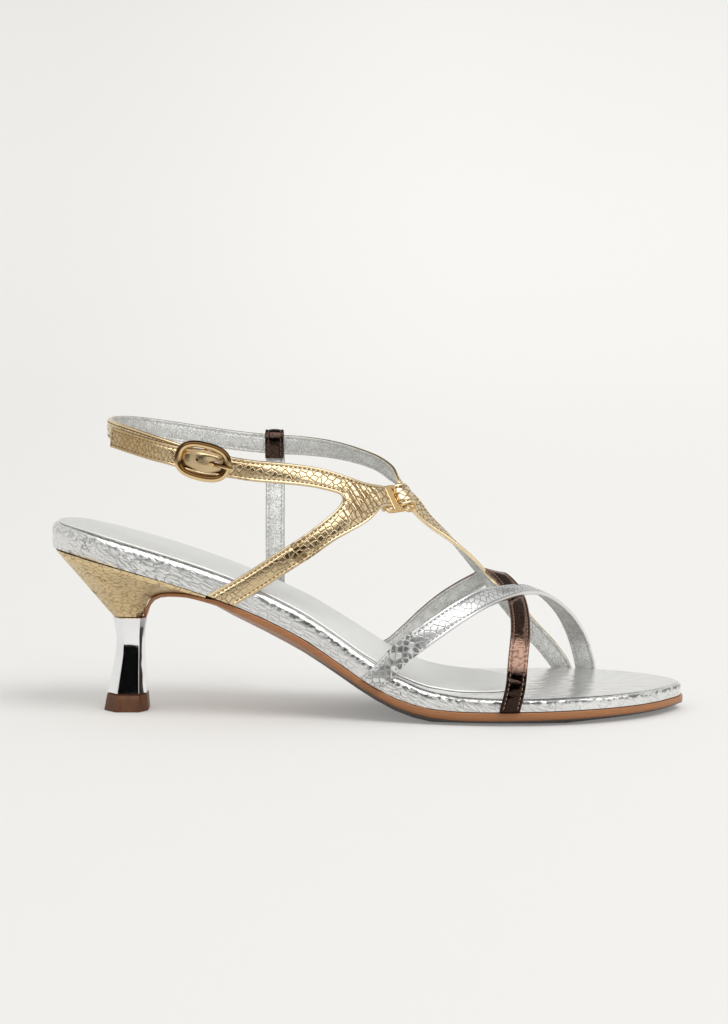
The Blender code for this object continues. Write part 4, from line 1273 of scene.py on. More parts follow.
def quarter_sheet():
    """Coarse inner face of the quarter strap: ankle branch to the link, and lower branch from its edge."""
    centre, along, _, outward = link_axes()
    axis = centre - along * LINK_HALF_LONG
    high = varied_rows(QUARTER_HIGH_ROWS)
    high += curl_rows(axis, along, outward, LINK_WIRE + CLEARANCE, LOOP_HALVES, LEATHER)
    left, right, leather = ribbon(smooth_rows(high, QUARTER_STEP))
    tip = len(left) - len(CURL_ANGLES)
    fork = np.arange(tip - QUARTER_FORK, tip)
    low_left, low_right, _ = ribbon(smooth_rows(last_rows(QUARTER_LOW_ROWS, QUARTER_LOW_HALF), QUARTER_STEP))
    reach_seam(low_left, 1)
    reach_seam(low_right, 1)
    share = np.linspace(0.0, 1.0, QUARTER_FORK)[None, :, None]
    branch = low_left[:, None, :] * (1 - share) + low_right[:, None, :] * share
    goal = right[fork]
    reach = np.linalg.norm(goal - branch[-1], axis=1, keepdims=True)
    leave = unit(branch[-1] - branch[-2]) * reach * FORK_LEAVE
    inward = unit(left[fork] - right[fork])
    backward = unit(right[fork - 1] - right[fork])
    arrive = unit(backward * FORK_ROUNDING + inward * (1 - FORK_ROUNDING)) * reach
    joined = [*branch, *(hermite(t, branch[-1], goal, leave, arrive) for t in FORK_STEPS)]
    main = np.stack((left, (left + right) / 2, right), axis=1)
    points = np.concatenate((main.reshape(-1, 3), np.reshape(joined, (-1, 3))))
    main_index = np.arange(3 * len(left)).reshape(-1, 3)
    branch_index = 3 * len(left) + np.arange(len(joined) * QUARTER_FORK).reshape(-1, QUARTER_FORK)
    branch_index = np.concatenate((branch_index, main_index[fork, 2][None, :]))
    return points, np.concatenate((sheet(main_index), sheet(branch_index))), leather[0]


def subdivided(points, faces, levels):
    """Points, normals and faces of a sheet after smooth subdivision."""
    mesh = bpy.data.meshes.new("coarse_sheet")
    mesh.from_pydata(points.tolist(), [], faces.tolist())
    face_outwards(mesh)
    coarse = add_object("coarse_sheet", mesh)
    modifier = coarse.modifiers.new("smooth", "SUBSURF")
    modifier.levels = levels
    modifier.boundary_smooth = "PRESERVE_CORNERS"
    fine = coarse.evaluated_get(bpy.context.evaluated_depsgraph_get()).to_mesh()
    made = np.array([point.co for point in fine.vertices])
    normals = np.array([point.normal for point in fine.vertices])
    corners = np.array([list(face.vertices) for face in fine.polygons])
    bpy.data.objects.remove(coarse, do_unlink=True)
    return made, normals, corners


def rim_edges(faces):
    """Edges of a sheet that have a face on one side only."""
    edges = np.concatenate([faces[:, [k, (k + 1) % 4]] for k in range(4)])
    _, first, counts = np.unique(np.sort(edges, axis=1), axis=0, return_index=True, return_counts=True)
    return edges[first[counts == 1]]


def rim_distance(points, edges, chunk=2000):
    """Distance of each point of a sheet from its rim."""
    start = points[edges[:, 0]]
    way = points[edges[:, 1]] - start
    size = np.maximum(np.sum(way * way, axis=1), 1e-12)
    found = []
    for k in range(0, len(points), chunk):
        gap = points[k:k + chunk, None, :] - start[None]
        share = np.clip(np.sum(gap * way[None], axis=2) / size, 0.0, 1.0)
        found.append(np.linalg.norm(gap - share[..., None] * way[None], axis=2).min(axis=1))
    return np.concatenate(found)


def rim_chains(edges):
    """Rim edges as unbroken lines of point numbers."""
    after = dict(edges.tolist())
    starts = sorted(set(after) - set(after.values())) or [int(edges[0, 0])]
    chains = []
    for start in starts:
        chain = [start]
        while chain[-1] in after and after[chain[-1]] != start:
            chain.append(after[chain[-1]])
        chains.append(chain)
    return chains


def pleats(points):
    """Height of the gathers at each point of the quarter strap."""
    gap = points[:, [0, 2]] - PLEAT_PLACE
    fade = np.clip(1 - np.sum(gap * gap, axis=1) / PLEAT_REACH ** 2, 0.0, 1.0) ** PLEAT_FADE
    phase = 2 * np.pi * (gap @ np.asarray(PLEAT_WAY)) / PLEAT_PITCH
    bend = sum(sway * np.sin(gap[:, k] / length) for k, (sway, length) in enumerate(PLEAT_BENDS))
    fine = FINE_PLEAT_SHARE * np.sin(FINE_PLEAT_RATE * phase + FINE_PLEAT_START)
    return PLEAT_HEIGHT * fade * (np.sin(phase + bend) + fine)


def in_buckle(points):
    """Places in the buckle's opening, counted in shares of its half length and half width."""
    centre, along, across, _ = buckle_axes()
    gap = points - centre
    return np.stack((gap @ along / BUCKLE_HALF_LONG, gap @ across / BUCKLE_HALF_WIDE), axis=1)


def buckle_share(points):
    """0 inside the buckle's opening, where the strap is smooth and plain, and 1 outside its frame."""
    away = (np.abs(in_buckle(points)) ** BUCKLE_FULLNESS).sum(axis=1)
    return np.clip((away - FRAME_START) / FRAME_SPAN, 0.0, 1.0)


def buckle_dents(points):
    """Soft dents of the strap where it is drawn through the buckle."""
    place = in_buckle(points)
    dents = np.zeros(len(points))
    for long, wide, reach_long, reach_wide, height in DENT_ROWS:
        away = ((place[:, 0] - long) / reach_long) ** 2 + ((place[:, 1] - wide) / reach_wide) ** 2
        dents += height * np.exp(-away)
    return dents


def section_height(rows, dome):
    """Height of a strap's face at any distance from its edge."""
    return curve(*columns(rows + [(QUARTER_LOW_HALF, dome), (FLAT_MIDDLE, dome + FLAT_RISE)]))


def quarter_values(points, gap, clear, folds):
    """Amounts for the quarter strap's leather: scales, painted dark reflection, and painted shade, also in
    pleat troughs.
    """
    scales = inland_share(gap) * clear
    dark, shade = np.zeros(len(points)), BUCKLE_PAINTED_SHADE * (1 - clear)
    for x, z, reach, cells, painted_shade, smooth in QUARTER_MARKS:
        near = np.exp(-np.sum((points[:, [0, 2]] - (x, z)) ** 2, axis=1) / reach ** 2)
        dark += cells * near
        shade += painted_shade * near * clear
        scales *= 1 - smooth * near
    # Painted shade in the troughs between the pleats.
    trough = np.clip(PLEAT_SHADE_LEVEL - folds / PLEAT_HEIGHT, 0.0, 1.0)
    values = {"inland": scales, "dark": dark, "shade": shade, "trough": trough}
    return {key: np.tile(amounts, 2) for key, amounts in values.items()}


def sew_quarter(points, normals, sewn, clear, yarns):
    """Stitches round the quarter strap, left out on its outer face inside the buckle."""
    outer_lines, inner_lines = [], []
    for chain in rim_chains(sewn):
        line, facing = points[chain], normals[chain]
        inward = np.cross(facing, unit(np.gradient(line, axis=0)))
        over = line + inward * STITCH_INSET + facing * (LEATHER + STITCH_SINK)
        shown = np.flatnonzero(clear[chain] > 0.5)
        for run in np.split(shown, np.flatnonzero(np.diff(shown) > 1) + 1):
            outer_lines.append((over[run], facing[run]))
        inner_lines.append((line + inward * STITCH_INSET - facing * STITCH_SINK, -facing))
    sew("quarter_band_stitches", outer_lines, yarns[0], "quarter_leather")
    sew("quarter_band_back_stitches", inner_lines, yarns[1], "quarter_leather")


def dress_quarter(looks):
    """Quarter strap: one sheet of leather cut as a Y, with a turned and sewn edge all round."""
    leather, lining, *yarns = looks
    points, faces, out = quarter_sheet()
    points, normals, faces = subdivided(points, faces, QUARTER_LEVELS)
    if np.dot(normals[0], out) < 0:
        normals, faces = -normals, faces[:, ::-1]
    edges = rim_edges(faces)
    foot = points[:, 2] - underside(points[:, 0] / LENGTH, points[:, 1]) - CLEARANCE
    sewn = edges[np.abs(foot[edges]).max(axis=1) > SEAM_HEIGHT]
    gap = rim_distance(points, sewn)
    outer_of = section_height(OUTER_PROFILE, OUTER_DOME)
    inner_of = section_height([(0.0, LEATHER + OUTER_PROFILE[0][1])] + INNER_PROFILE, INNER_DOME)
    folds = pleats(points) * np.clip((gap - STITCH_INSET) / STITCH_INSET, 0.0, 1.0)
    outer = points + normals * (LEATHER + outer_of(gap) + (folds + buckle_dents(points)))[:, None]
    inner = points + normals * inner_of(gap)[:, None]
    count = len(points)
    walls = np.column_stack((edges, edges[:, ::-1] + count))
    skin = np.concatenate((faces, faces[:, ::-1] + count, walls))
    inside = (gap[faces].min(axis=1) >= LINING_INSET).astype(int)
    indices = np.concatenate((np.zeros(len(faces), int), inside, np.zeros(len(walls), int)))
    clear = buckle_share(points)
    values = quarter_values(points, gap, clear, folds)
    tail = np.clip(TAIL_START - points[:, 0], 0.0, None) * (TAIL_FINER - 1)
    uv = np.tile(np.stack((points[:, 0] - tail, points[:, 2]), axis=1) / UV_MM, (2, 1))
    both = np.concatenate((outer, inner))
    mesh = make_mesh("quarter_band", both, skin, [leather, lining], indices, uv, values)
    punch(make_piece("quarter_band", mesh, "quarter_leather", "quarter_strap"))
    sew_quarter(points, normals, sewn, clear, yarns)


def punch(piece):
    """Cut the prong's hole and the round spare hole through the strap at the buckle."""
    centre, along, across, outward = buckle_axes()
    turns = full_turn(HOLE_SIDES)
    skins = []
    for middle, wide, high in HOLE_ROWS:
        loop = [centre + along * (middle + wide * np.cos(t)) + across * high * np.sin(t) for t in turns]
        skins.append(capped_tube([loop + outward * depth for depth in (0.0, 3 * BUCKLE_LIFT)]))
    cutter = add_object("strap_holes", make_mesh("strap_holes", *join_skins(skins), []))
    modifier = piece.modifiers.new("holes", "BOOLEAN")
    modifier.operation = "DIFFERENCE"
    modifier.object = cutter
    cut = bpy.data.meshes.new_from_object(piece.evaluated_get(bpy.context.evaluated_depsgraph_get()))
    piece.modifiers.clear()
    piece.data = cut
    bpy.data.objects.remove(cutter, do_unlink=True)


def wall_dents(along, share):
    """Depth of the wall's creases at a share of its height."""
    dents = np.zeros(len(along))
    for start, end, width, depth in WALL_CREASES:
        dents += depth * np.exp(-((along - end - (start - end) * share) / width) ** 2)
    return dents


def platform_values(points, count):
    """Amounts for the platform's leather: its wall, the crackle on it and the painted dark reflection under
    the rim.
    """
    wall = np.concatenate((np.ones(len(WALL_SHARES)), np.cos(np.radians(RIM_ANGLES))))
    climb = np.clip((WALL_SHARES - DASH_START) / (1 - DASH_START), 0.0, 1.0)
    painted_reflection_dashes = np.concatenate((climb, np.clip(2 - 2 * RIM_ANGLES / DASH_END, 0.0, 1.0)))
    top = np.zeros(len(points) - len(wall) * count)
    wall, painted_reflection_dashes = (np.concatenate((np.repeat(share, count), top)) for share in (wall, painted_reflection_dashes))
    crackle = np.clip(RIM_CRACKLE * wall, 0.0, 1.0) * np.interp(points[:, 0], *columns(CRACKLE_ROWS))
    painted_reflection_dashes *= np.interp(points[:, 0], *columns(DASH_ROWS))
    return {"wall": wall, "crackle": crackle, "painted_reflection_dashes": painted_reflection_dashes}


def footbed_piece(material):
    """Platform wrapped in leather: creased wall, rounded rim and ruled top."""
    plan = outline(LATERAL, MEDIAL, 0.0, 1.0, FOOTBED_STATIONS)
    rim = RIM_SHARE * WALL(plan[:, 0] / LENGTH)
    rings = []
    for share in WALL_SHARES:
        moved = inset(plan, wall_dents(plan[:, 0], share)[:, None])
        low, high = raised(moved, underside), raised(moved, topside, -rim)
        rings.append(low + (high - low) * share)
    for angle in np.radians(RIM_ANGLES):
        moved = inset(plan, RIM_INSET * (1 - np.cos(angle)))
        rings.append(raised(moved, topside, -rim * (1 - np.sin(angle))))
    top = rings[-1]
    count = len(plan)
    near, far = top[:FOOTBED_STATIONS], top[(count - np.arange(FOOTBED_STATIONS)) % count]
    share = np.linspace(0.0, 1.0, FOOTBED_COLUMNS)[None, 1:-1, None]
    inner = near[1:-1, None] * (1 - share) + far[1:-1, None] * share
    points = np.concatenate((np.concatenate(rings), inner.reshape(-1, 3)))
    start = (len(rings) - 1) * count
    grid = len(rings) * count + np.arange(inner.shape[0] * inner.shape[1]).reshape(inner.shape[:2])
    stations = np.arange(1, FOOTBED_STATIONS - 1)
    grid = np.column_stack((start + stations, grid, start + count - stations))
    faces = tube_faces(len(rings), count).tolist() + sheet(grid).tolist()
    faces.append([start, *grid[0]])
    faces.append([start + FOOTBED_STATIONS - 1, *grid[-1]])
    faces.append(list(range(count)))
    mesh = make_mesh("platform", points, faces, [material], values=platform_values(points, count))
    make_piece("platform", sharpen(mesh, PLATFORM_SHARP), "silver_leather", "footbed")


def sock_piece(material):
    """Smooth insole over the heel seat and the arch, with a pared edge."""
    along, near, far = columns(SOCK_ROWS)
    first, last = along[0], along[-1]
    share = swing((along - first) / (last - first))
    plan = outline(curve(share, near), curve(share, far), first, last, SOCK_STATIONS)
    rings = [raised(inset(plan, cut), topside, height) for cut, height in SOCK_LEVELS]
    count = len(plan)
    faces = tube_faces(len(rings), count).tolist()
    for start in (0, (len(rings) - 1) * count):
        faces.append([start, start + 1, start + count - 1])
        faces.append([start + SOCK_STATIONS - 2, start + SOCK_STATIONS - 1, start + SOCK_STATIONS])
        for i in range(1, SOCK_STATIONS - 2):
            faces.append([start + i, start + i + 1, start + count - i - 1, start + count - i])
    mesh = sharpen(make_mesh("insole", np.concatenate(rings), faces, [material]), SOCK_SHARP)
    make_piece("insole", mesh, "silver_lining", "sock_lining")


def heel_ring(front, half, climb, seated):
    """One level of the heel block: from the middle of its back round one side to the breast, and back."""
    back = np.asarray(HEEL_BACK_LOW) + climb * (np.asarray(HEEL_BACK_HIGH) - np.asarray(HEEL_BACK_LOW))
    widest = HEEL_NECK_HALF + climb * (HEEL_SEAT_HALF - HEEL_NECK_HALF)
    seat_deep, seat_wide, neck_deep, neck_wide = resampled(HEEL_SIDE, HEEL_SIDE_POINTS)
    depth = np.concatenate((seat_deep + (neck_deep - seat_deep) * (1 - climb), np.ones(HEEL_FRONT_POINTS)))
    width = (seat_wide + (neck_wide - seat_wide) * (1 - climb)) * widest
    width = np.concatenate((width, half * np.linspace(1.0, 0.0, HEEL_FRONT_POINTS)))
    x, z = (back[k] + depth * (front[k] - back[k]) for k in (0, 1))
    if seated:
        z = underside(x / LENGTH, -width) - CLEARANCE
    near = np.stack((x, -width, z), axis=1)
    return np.concatenate((near, near[-2:0:-1] * (1.0, -1.0, 1.0)))


def heel_piece(material):
    """Heel block, from its eight-sided neck up to the seat under the footbed."""
    x, z, half, climb = resampled(BREAST_ROWS, HEEL_LEVELS)
    rings = [heel_ring((x[k], z[k]), half[k], climb[k], False) for k in range(HEEL_LEVELS)]
    rings.append(heel_ring((x[-1], z[-1]), half[-1], 1.0, True))
    mesh = sharpen(make_mesh("heel_cover", *capped_tube(rings), [material]), HEEL_SHARP)
    make_piece("heel_cover", mesh, "gold_heel_leather", "heel_block")


def rounded_octagon(z, back, front, half, shrink=0.0):
    """Eight-sided level with rounded corners."""
    corners = np.array([(back + depth * (front - back), width * half) for depth, width in OCTAGON])
    middle = corners.mean(axis=0)
    corners = middle + (corners - middle) * (1 - shrink / half)
    made = []
    for before, corner, after in zip(np.roll(corners, 1, axis=0), corners, np.roll(corners, -1, axis=0)):
        start = corner + unit(before - corner) * CORNER_RADIUS
        end = corner + unit(after - corner) * CORNER_RADIUS
        for t in CORNER_STEPS:
            made.append((1 - t) ** 2 * start + 2 * t * (1 - t) * corner + t * t * end)
    return np.column_stack((made, np.full(len(made), z)))


def octagon_piece(name, rows, levels, material, slot, node):
    """Eight-sided post with a smooth profile and pared rims."""
    z, back, front, half = resampled(rows, levels)
    z[0] -= RIM_CHAMFER
    z[-1] += RIM_CHAMFER
    rings = [rounded_octagon(*level) for level in zip(z, back, front, half)]
    rings.insert(0, rounded_octagon(*rows[0], RIM_CHAMFER))
    rings.append(rounded_octagon(*rows[-1], RIM_CHAMFER))
    mesh = sharpen(make_mesh(name, *capped_tube(rings), [material]), OCTAGON_SHARP)
    make_piece(name, mesh, slot, node)


def outsole_piece(material):
    """Sole with its edges softened."""
    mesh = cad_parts["outsole"].data.copy()
    work = bmesh.new()
    work.from_mesh(mesh)
    bmesh.ops.remove_doubles(work, verts=work.verts, dist=SOLE_WELD * MM)
    flat = {"angle_face_threshold": SOLE_FLAT, "angle_shape_threshold": 1.0}
    bmesh.ops.join_triangles(work, faces=work.faces, **flat)
    work.to_mesh(mesh)
    work.free()
    points = np.array([vertex.co for vertex in mesh.vertices]) / MM - SHIFT
    # How far down the sole's edge each point lies, for its painted shade and painted contact shadow.
    drop = (underside(points[:, 0] / LENGTH, points[:, 1]) - points[:, 2]) / SOLE_EDGE
    drop *= np.clip((points[:, 0] - SOLE_BREAST) / SOLE_BREAST, 0.0, 1.0)
    add_values(mesh, {"drop": drop})
    mesh.materials.clear()
    mesh.materials.append(material)
    piece = make_piece("sole", mesh, "tan_sole", "outsole")
    bevel = piece.modifiers.new("soft_edges", "BEVEL")
    bevel.width = SOLE_BEVEL * MM
    bevel.segments = SOLE_BEVEL_STEPS
    bevel.limit_method = "ANGLE"
    bevel.angle_limit = np.radians(SOLE_SHARP)
    mesh.shade_smooth()
    sharpen(mesh, SOLE_SHARP)


def wire_rings(path, sides, ups, radii):
    """Rings of a round wire along a path."""
    turns = full_turn(WIRE_SIDES)
    spread = sides[:, None] * np.cos(turns)[None, :, None] + ups[:, None] * np.sin(turns)[None, :, None]
    return path[:, None] + spread * np.asarray(radii)[:, None, None]


def superellipse(count, halves, fullness):
    """Places round an oval: an ellipse at fullness 2, squarer above that."""
    sides = (np.cos(full_turn(count)), np.sin(full_turn(count)))
    return [half * np.sign(side) * np.abs(side) ** (2.0 / fullness) for half, side in zip(halves, sides)]


def oval_wire(centre, first, second, outward, halves, fullness, radius):
    """Closed oval wire lying in the plane of two axes."""
    wide, high = superellipse(RING_TURNS, halves, fullness)
    path = centre + np.outer(wide, first) + np.outer(high, second)
    tangents = unit(np.roll(path, -1, axis=0) - np.roll(path, 1, axis=0))
    ups = np.tile(outward, (RING_TURNS, 1))
    rings = wire_rings(path, np.cross(tangents, ups), ups, np.full(RING_TURNS, radius))
    index = np.arange(RING_TURNS * WIRE_SIDES).reshape(RING_TURNS, WIRE_SIDES)
    return rings.reshape(-1, 3), sheet(np.pad(index, ((0, 1), (0, 1)), "wrap")).tolist()


def rod(path, outward, radii):
    """Round rod along an open path, closed at its ends."""
    path = np.asarray(path)
    tangents = unit(np.gradient(path, axis=0))
    sides = unit(np.cross(tangents, outward))
    return capped_tube(wire_rings(path, sides, np.cross(sides, tangents), radii))


def smooth_path(path, steps):
    """Points filled in along a smooth line through a few."""
    path = np.asarray(path, float)
    places = path_lengths(path)
    even = np.linspace(0.0, places[-1], steps)
    return np.stack([curve(places, path[:, k])(even) for k in range(3)], axis=1)


def buckle_pieces(metal):
    """Oval frame with its bar, and the prong that lies over it."""
    centre, along, across, outward = buckle_axes()
    halves = (BUCKLE_HALF_LONG, BUCKLE_HALF_WIDE)
    raised_centre = centre + outward * BUCKLE_LIFT
    ring = oval_wire(raised_centre, along, across, outward, halves, BUCKLE_FULLNESS, BUCKLE_WIRE)
    ends = [(-BUCKLE_HALF_WIDE, BUCKLE_LIFT), (-BAR_STRAIGHT, BAR_LIFT)]
    ends += [(-side, lift) for side, lift in ends[::-1]]
    path = smooth_path([centre + across * side + outward * lift for side, lift in ends], BAR_STEPS)
    bar = rod(path, along, np.full(len(path), BAR_WIRE))
    mesh = make_mesh("buckle_oval", *join_skins([ring, bar]), [metal])
    make_piece("buckle_oval", mesh, "gold_metal", "buckle_frame")
    path = smooth_path([centre + along * place + outward * lift for place, lift in PRONG_ROWS], PRONG_STEPS)
    ease = np.linspace(0.0, PRONG_TAPER, len(path))
    ease = np.clip(np.minimum(ease, ease[::-1]), PRONG_POINT, 1.0)
    radii = PRONG_WIRE * np.sqrt(1 - (1 - ease) ** 2)
    mesh = make_mesh("buckle_tongue", *rod(path, across, radii), [metal])
    make_piece("buckle_tongue", mesh, "prong_metal", "buckle_prong")


def link_piece(metal):
    """Ring of wire with a flat bar across it and an eye at its lower front corner."""
    centre, along, rise, outward = link_axes()
    eye = centre + along * EYE_PLACE[0] + rise * EYE_PLACE[1]
    eye = oval_wire(eye, along, rise, outward, EYE_HALVES, ROUND, EYE_WIRE)
    centre = centre + rise * LINK_DROP
    halves = (LINK_HALF_LONG, LINK_HALF_WIDE)
    ring = oval_wire(centre, along, rise, outward, halves, LINK_FULLNESS, LINK_WIRE)
    wide, deep = superellipse(LINK_BAR_SIDES, (LINK_BAR_HALF, LINK_BAR_DEPTH), LINK_BAR_FULLNESS)
    section = np.outer(wide, along) + np.outer(deep, outward)
    places = np.linspace(-1.0, 1.0, LINK_BAR_RINGS) * LINK_HALF_WIDE
    bar = capped_tube([centre + rise * place + section for place in places])
    mesh = sharpen(make_mesh("link_wire", *join_skins([ring, bar, eye]), [metal]), LINK_SHARP)
    make_piece("link_wire", mesh, "link_metal", "strap_link")


def upper_pieces(gold, silver, bronze, shaded_bronze):
    """Straps of the upper: the instep and ankle strap, its tab, the silver and bronze straps and the post."""
    rows = last_rows(INSTEP_ROWS, GOLD_HALF) + free_rows(RIDGE_ROWS, GOLD_HALF) + varied_rows(ANKLE_ROWS)
    dress_strap("gold_strap", rows, gold, "strap_leather", ("upper",), (True, False))
    centre, along, _, outward = link_axes()
    root = free_rows([ANKLE_ROWS[0][:-1]], TAB_HALF, TAB_LEATHER)
    root[0][:3] += root[0][3:6] * TAB_SINK
    axis = centre + along * LINK_HALF_LONG
    curl = curl_rows(axis, -along, outward, LINK_WIRE + CLEARANCE, TAB_LOOP_HALVES, TAB_LOOP_LEATHER)
    dress_strap("link_tab", root + curl, gold, "strap_leather")
    rows = last_rows(SILVER_ROWS, SILVER_HALF)
    dress_strap("silver_strap", rows, silver, "silver_leather", (), (True, True), marks=SILVER_MARKS)
    rows = last_rows(BRONZE_ROWS, BRONZE_HALF) + free_rows(BRONZE_TOP_ROWS, BRONZE_HALF)
    rows += last_rows(BRONZE_END_ROWS, BRONZE_HALF)
    dress_strap("bronze_strap", rows, bronze, None, (), (True, True), BRONZE_CREASES, BRONZE_MARKS)
    rows = last_rows(POST_ROWS, POST_HALF) + free_rows(POST_LOOP_ROWS, POST_HALF)
    dress_strap("medial_post", rows, shaded_bronze, None, (), (True, False))


# Studio: a floor that sweeps up into a low round wall, with a painted light falloff that makes it paler
# towards the toe and a faint glow that lightens its shadows as painted light; a wide soft light from the
# front on the toe's side; and cards that only shiny surfaces show, by the angles above the floor between
# which they stand.
FLOOR_ROWS = [
    # radius, height
    (0.0, 0.0),
    (2.4, 0.0),
    (3.0, 0.08),
    (3.5, 0.30),
    (3.8, 0.70),
    (3.85, 1.0),
]
FLOOR_TURNS = 96
FLOOR_RINGS = 40
FLOOR_MIDDLE = 0.02
PAPER_SPAN = (-600.0, 200.0)
PAPER_SHADE = (0.535, 0.530, 0.515)
PAPER_LIGHT = (0.615, 0.610, 0.595)
PAPER_GLOW = (1.0, 0.99, 0.965, 1.0)
FILL = 0.74
FILL_COLOUR = (1.0, 1.0, 0.99, 1.0)
KEY = 1.6
FLOOR_GLOW = 0.19
KEY_WIDTH = 35.0
KEY_FROM = (0.42, -0.42, 0.80)
CARD_REACH = 2.2
CARD_ROWS = [
    # name, low, high, left, right, colour, glow
    ("dark_front", 0.0, 16.0, -1.7, 1.7, 0.004, 0.0),
    ("soft_box", 20.0, 66.0, -1.1, 3.2, 0.8, 2.0),
    ("dark_ceiling", 72.0, 145.0, -0.8, 0.8, 0.2, 0.0),
]


def studio_floor():
    """Pale floor, painted a little darker to the heel's side as light falloff, with a faint painted glow."""
    radius, height = resampled(FLOOR_ROWS, FLOOR_RINGS, FLOOR_MIDDLE)
    turns = full_turn(FLOOR_TURNS)
    round_way = np.stack((np.cos(turns), np.sin(turns)), axis=1)
    rings = [np.column_stack((round_way * r, np.full(FLOOR_TURNS, h))) for r, h in zip(radius, height)]
    faces = tube_faces(len(rings), FLOOR_TURNS).tolist()
    faces.append(list(range(FLOOR_TURNS))[::-1])
    mesh = bpy.data.meshes.new("floor")
    mesh.from_pydata(np.concatenate(rings).tolist(), [], faces)
    mesh.shade_smooth()
    shader = Shader("pale_floor", PAPER_LIGHT, 0.0, 0.8)
    # Painted light: the floor glows faintly so that its shadows come out lighter.
    shader.put("Emission Color", PAPER_GLOW)
    shader.put("Emission Strength", FLOOR_GLOW)
    # Painted light falloff: darker to the heel's side, paler towards the toe.
    across = shader.add("SeparateXYZ", {0: shader.place("Object", 1.0)}).outputs["X"]
    shader.put("Base Color", shader.blend(shader.ramp(across, *PAPER_SPAN), PAPER_SHADE, PAPER_LIGHT))
    mesh.materials.append(shader.material)
    floor = add_object("floor", mesh)


def reflection_card(name, corners, colour, glow):
    """Card beside the studio floor that shows only in shiny surfaces."""
    mesh = bpy.data.meshes.new(name)
    mesh.from_pydata(corners, [], [(0, 1, 2, 3)])
    shader = Shader(name, (colour, colour, colour), 0.0, 1.0, Specular_IOR_Level=0.0)
    shader.put("Emission Color", (1.0, 1.0, 1.0, 1.0))
    shader.put("Emission Strength", glow)
    mesh.materials.append(shader.material)
    card = add_object(name, mesh)
    card.visible_camera = False
    card.visible_diffuse = False
    card.visible_shadow = False
    card.visible_transmission = False


def studio_cards():
    """Dark front of the room, bright soft box above it and dark ceiling, as polished surfaces show them."""
    for name, low, high, left, right, colour, glow in CARD_ROWS:
        angles = np.radians((low, high))
        near, far = np.stack((-CARD_REACH * np.cos(angles), CARD_REACH * np.sin(angles)), axis=1)
        corners = [(left, *near), (right, *near), (right, *far), (left, *far)]
        reflection_card(name, corners, colour, glow)


def studio_light():
    """Even fill from all round and the wide soft key light."""
    world = bpy.data.worlds.new("studio")
    world.use_nodes = True
    background = world.node_tree.nodes["Background"]
    background.inputs["Color"].default_value = FILL_COLOUR
    background.inputs["Strength"].default_value = FILL
    bpy.context.scene.world = world
    lamp = bpy.data.lights.new("key_light", "SUN")
    lamp.energy = KEY
    lamp.angle = np.radians(KEY_WIDTH)
    light = add_object("key_light", lamp)
    light.rotation_euler = Vector([-part for part in KEY_FROM]).to_track_quat("-Z", "Y").to_euler()
    light.visible_glossy = False


def studio_camera():
    """Camera at the photo's place and angle."""
    lens = bpy.data.cameras.new("camera")
    lens.sensor_width = SENSOR
    lens.lens = FOCAL_PIXELS * SENSOR / max(PICTURE)
    camera = add_object("camera", lens)
    camera.location = (np.asarray(CAMERA_PLACE) + SHIFT) * MM
    camera.rotation_euler = (np.radians(90.0 - CAMERA_PITCH), 0.0, 0.0)
    bpy.context.scene.camera = camera
    bpy.context.scene.view_settings.view_transform = "Standard"


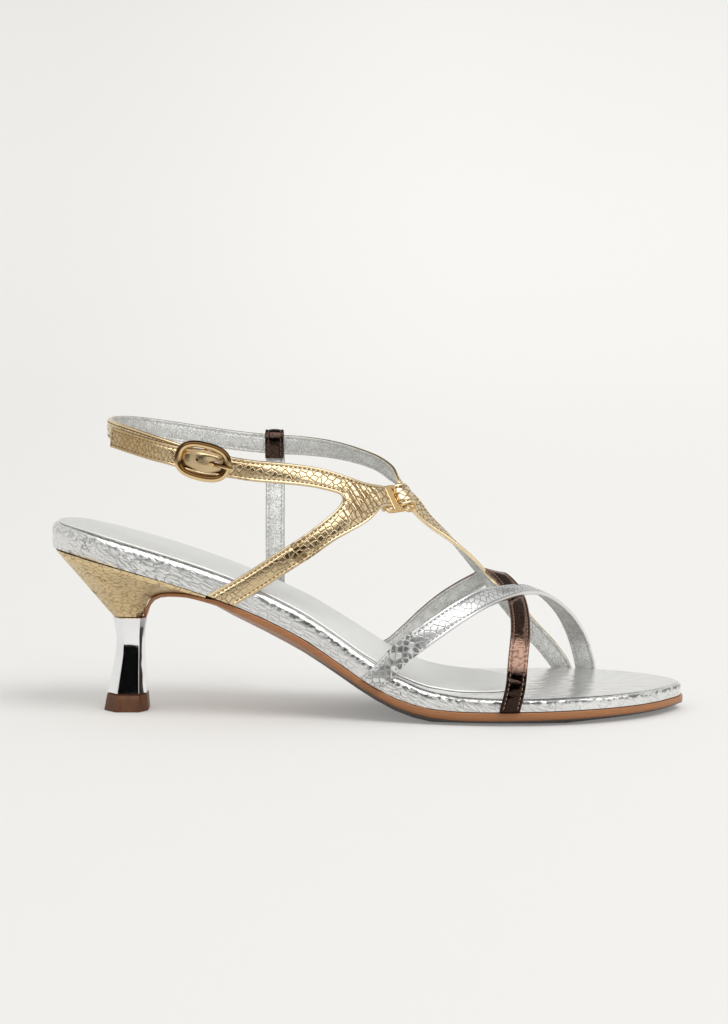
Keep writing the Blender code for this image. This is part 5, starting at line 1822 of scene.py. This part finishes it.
def build():
    """All pieces with their leathers, metals and threads, and the studio round them."""
    gold = scale_leather("gold_scales", (0.80, 0.64, 0.41), (0.33, 0.22, 0.10), 0.18)
    silver = scale_leather("silver_scales", (0.80, 0.80, 0.79), (0.40, 0.40, 0.40), 0.33)
    bronze = mirror_leather("bronze_mirror", (0.24, 0.15, 0.115), (0.10, 0.06, 0.045))
    # Painted shade: a darker copy of the bronze leather for the post.
    shaded_bronze = mirror_leather("bronze_mirror_painted_shade", (0.07, 0.045, 0.035), (0.03, 0.02, 0.015))
    lining = lining_leather("strap_lining", (0.70, 0.70, 0.68), (0.42, 0.42, 0.41))
    gold_yarn = thread("gold_thread", (0.30, 0.20, 0.08), (0.16, 0.10, 0.04))
    silver_yarn = thread("silver_thread", (0.42, 0.42, 0.42), (0.25, 0.25, 0.26))
    bronze_yarn = thread("bronze_thread", (0.34, 0.20, 0.14), (0.18, 0.10, 0.07))
    # Painted shade: darker thread for the post.
    shaded_bronze_yarn = thread("bronze_thread_painted_shade", (0.11, 0.065, 0.045), (0.07, 0.04, 0.03))
    back_yarn = thread("lining_thread", (0.50, 0.49, 0.47), (0.38, 0.37, 0.35))
    gold_looks = (gold, lining, gold_yarn, back_yarn)
    silver_looks = (silver, lining, silver_yarn, back_yarn)
    bronze_looks = (bronze, lining, bronze_yarn, back_yarn)
    shaded_bronze_looks = (shaded_bronze, lining, shaded_bronze_yarn, back_yarn)
    upper_pieces(gold_looks, silver_looks, bronze_looks, shaded_bronze_looks)
    dress_quarter(gold_looks)
    platform = platform_leather("platform_silver", (0.84, 0.84, 0.83), (0.80, 0.80, 0.79), (0.26, 0.26, 0.26))
    footbed_piece(platform)
    sock_piece(sock_leather("insole_silver", (0.86, 0.86, 0.84), (0.80, 0.80, 0.78)))
    heel_piece(heel_leather("heel_gold", (0.80, 0.63, 0.37), (0.71, 0.55, 0.31), (0.22, 0.145, 0.06)))
    chrome = polished_metal("polished_chrome", (0.86, 0.86, 0.87), 0.05, 0.3)
    octagon_piece("chrome_stem", STEM_ROWS, STEM_LEVELS, chrome, "chrome", "heel_stem")
    lift = rubber("lift_rubber", (0.125, 0.05, 0.021), (0.095, 0.037, 0.015))
    octagon_piece("lift", LIFT_ROWS, LIFT_LEVELS, lift, "brown_lift", "top_lift")
    outsole_piece(sole_leather("sole_tan", (0.36, 0.15, 0.055), (0.20, 0.078, 0.026), (0.03, 0.013, 0.006)))
    # The buckle's gold is painted darker on its upward faces as a dark reflection.
    buckle_pieces(polished_metal("polished_gold", (0.80, 0.58, 0.31), 0.07, 0.05, (0.10, 0.05, 0.016)))
    link_piece(polished_metal("polished_link", (0.74, 0.52, 0.26), 0.08, 0.05))
    studio_floor()
    studio_cards()
    studio_light()
    studio_camera()


build()
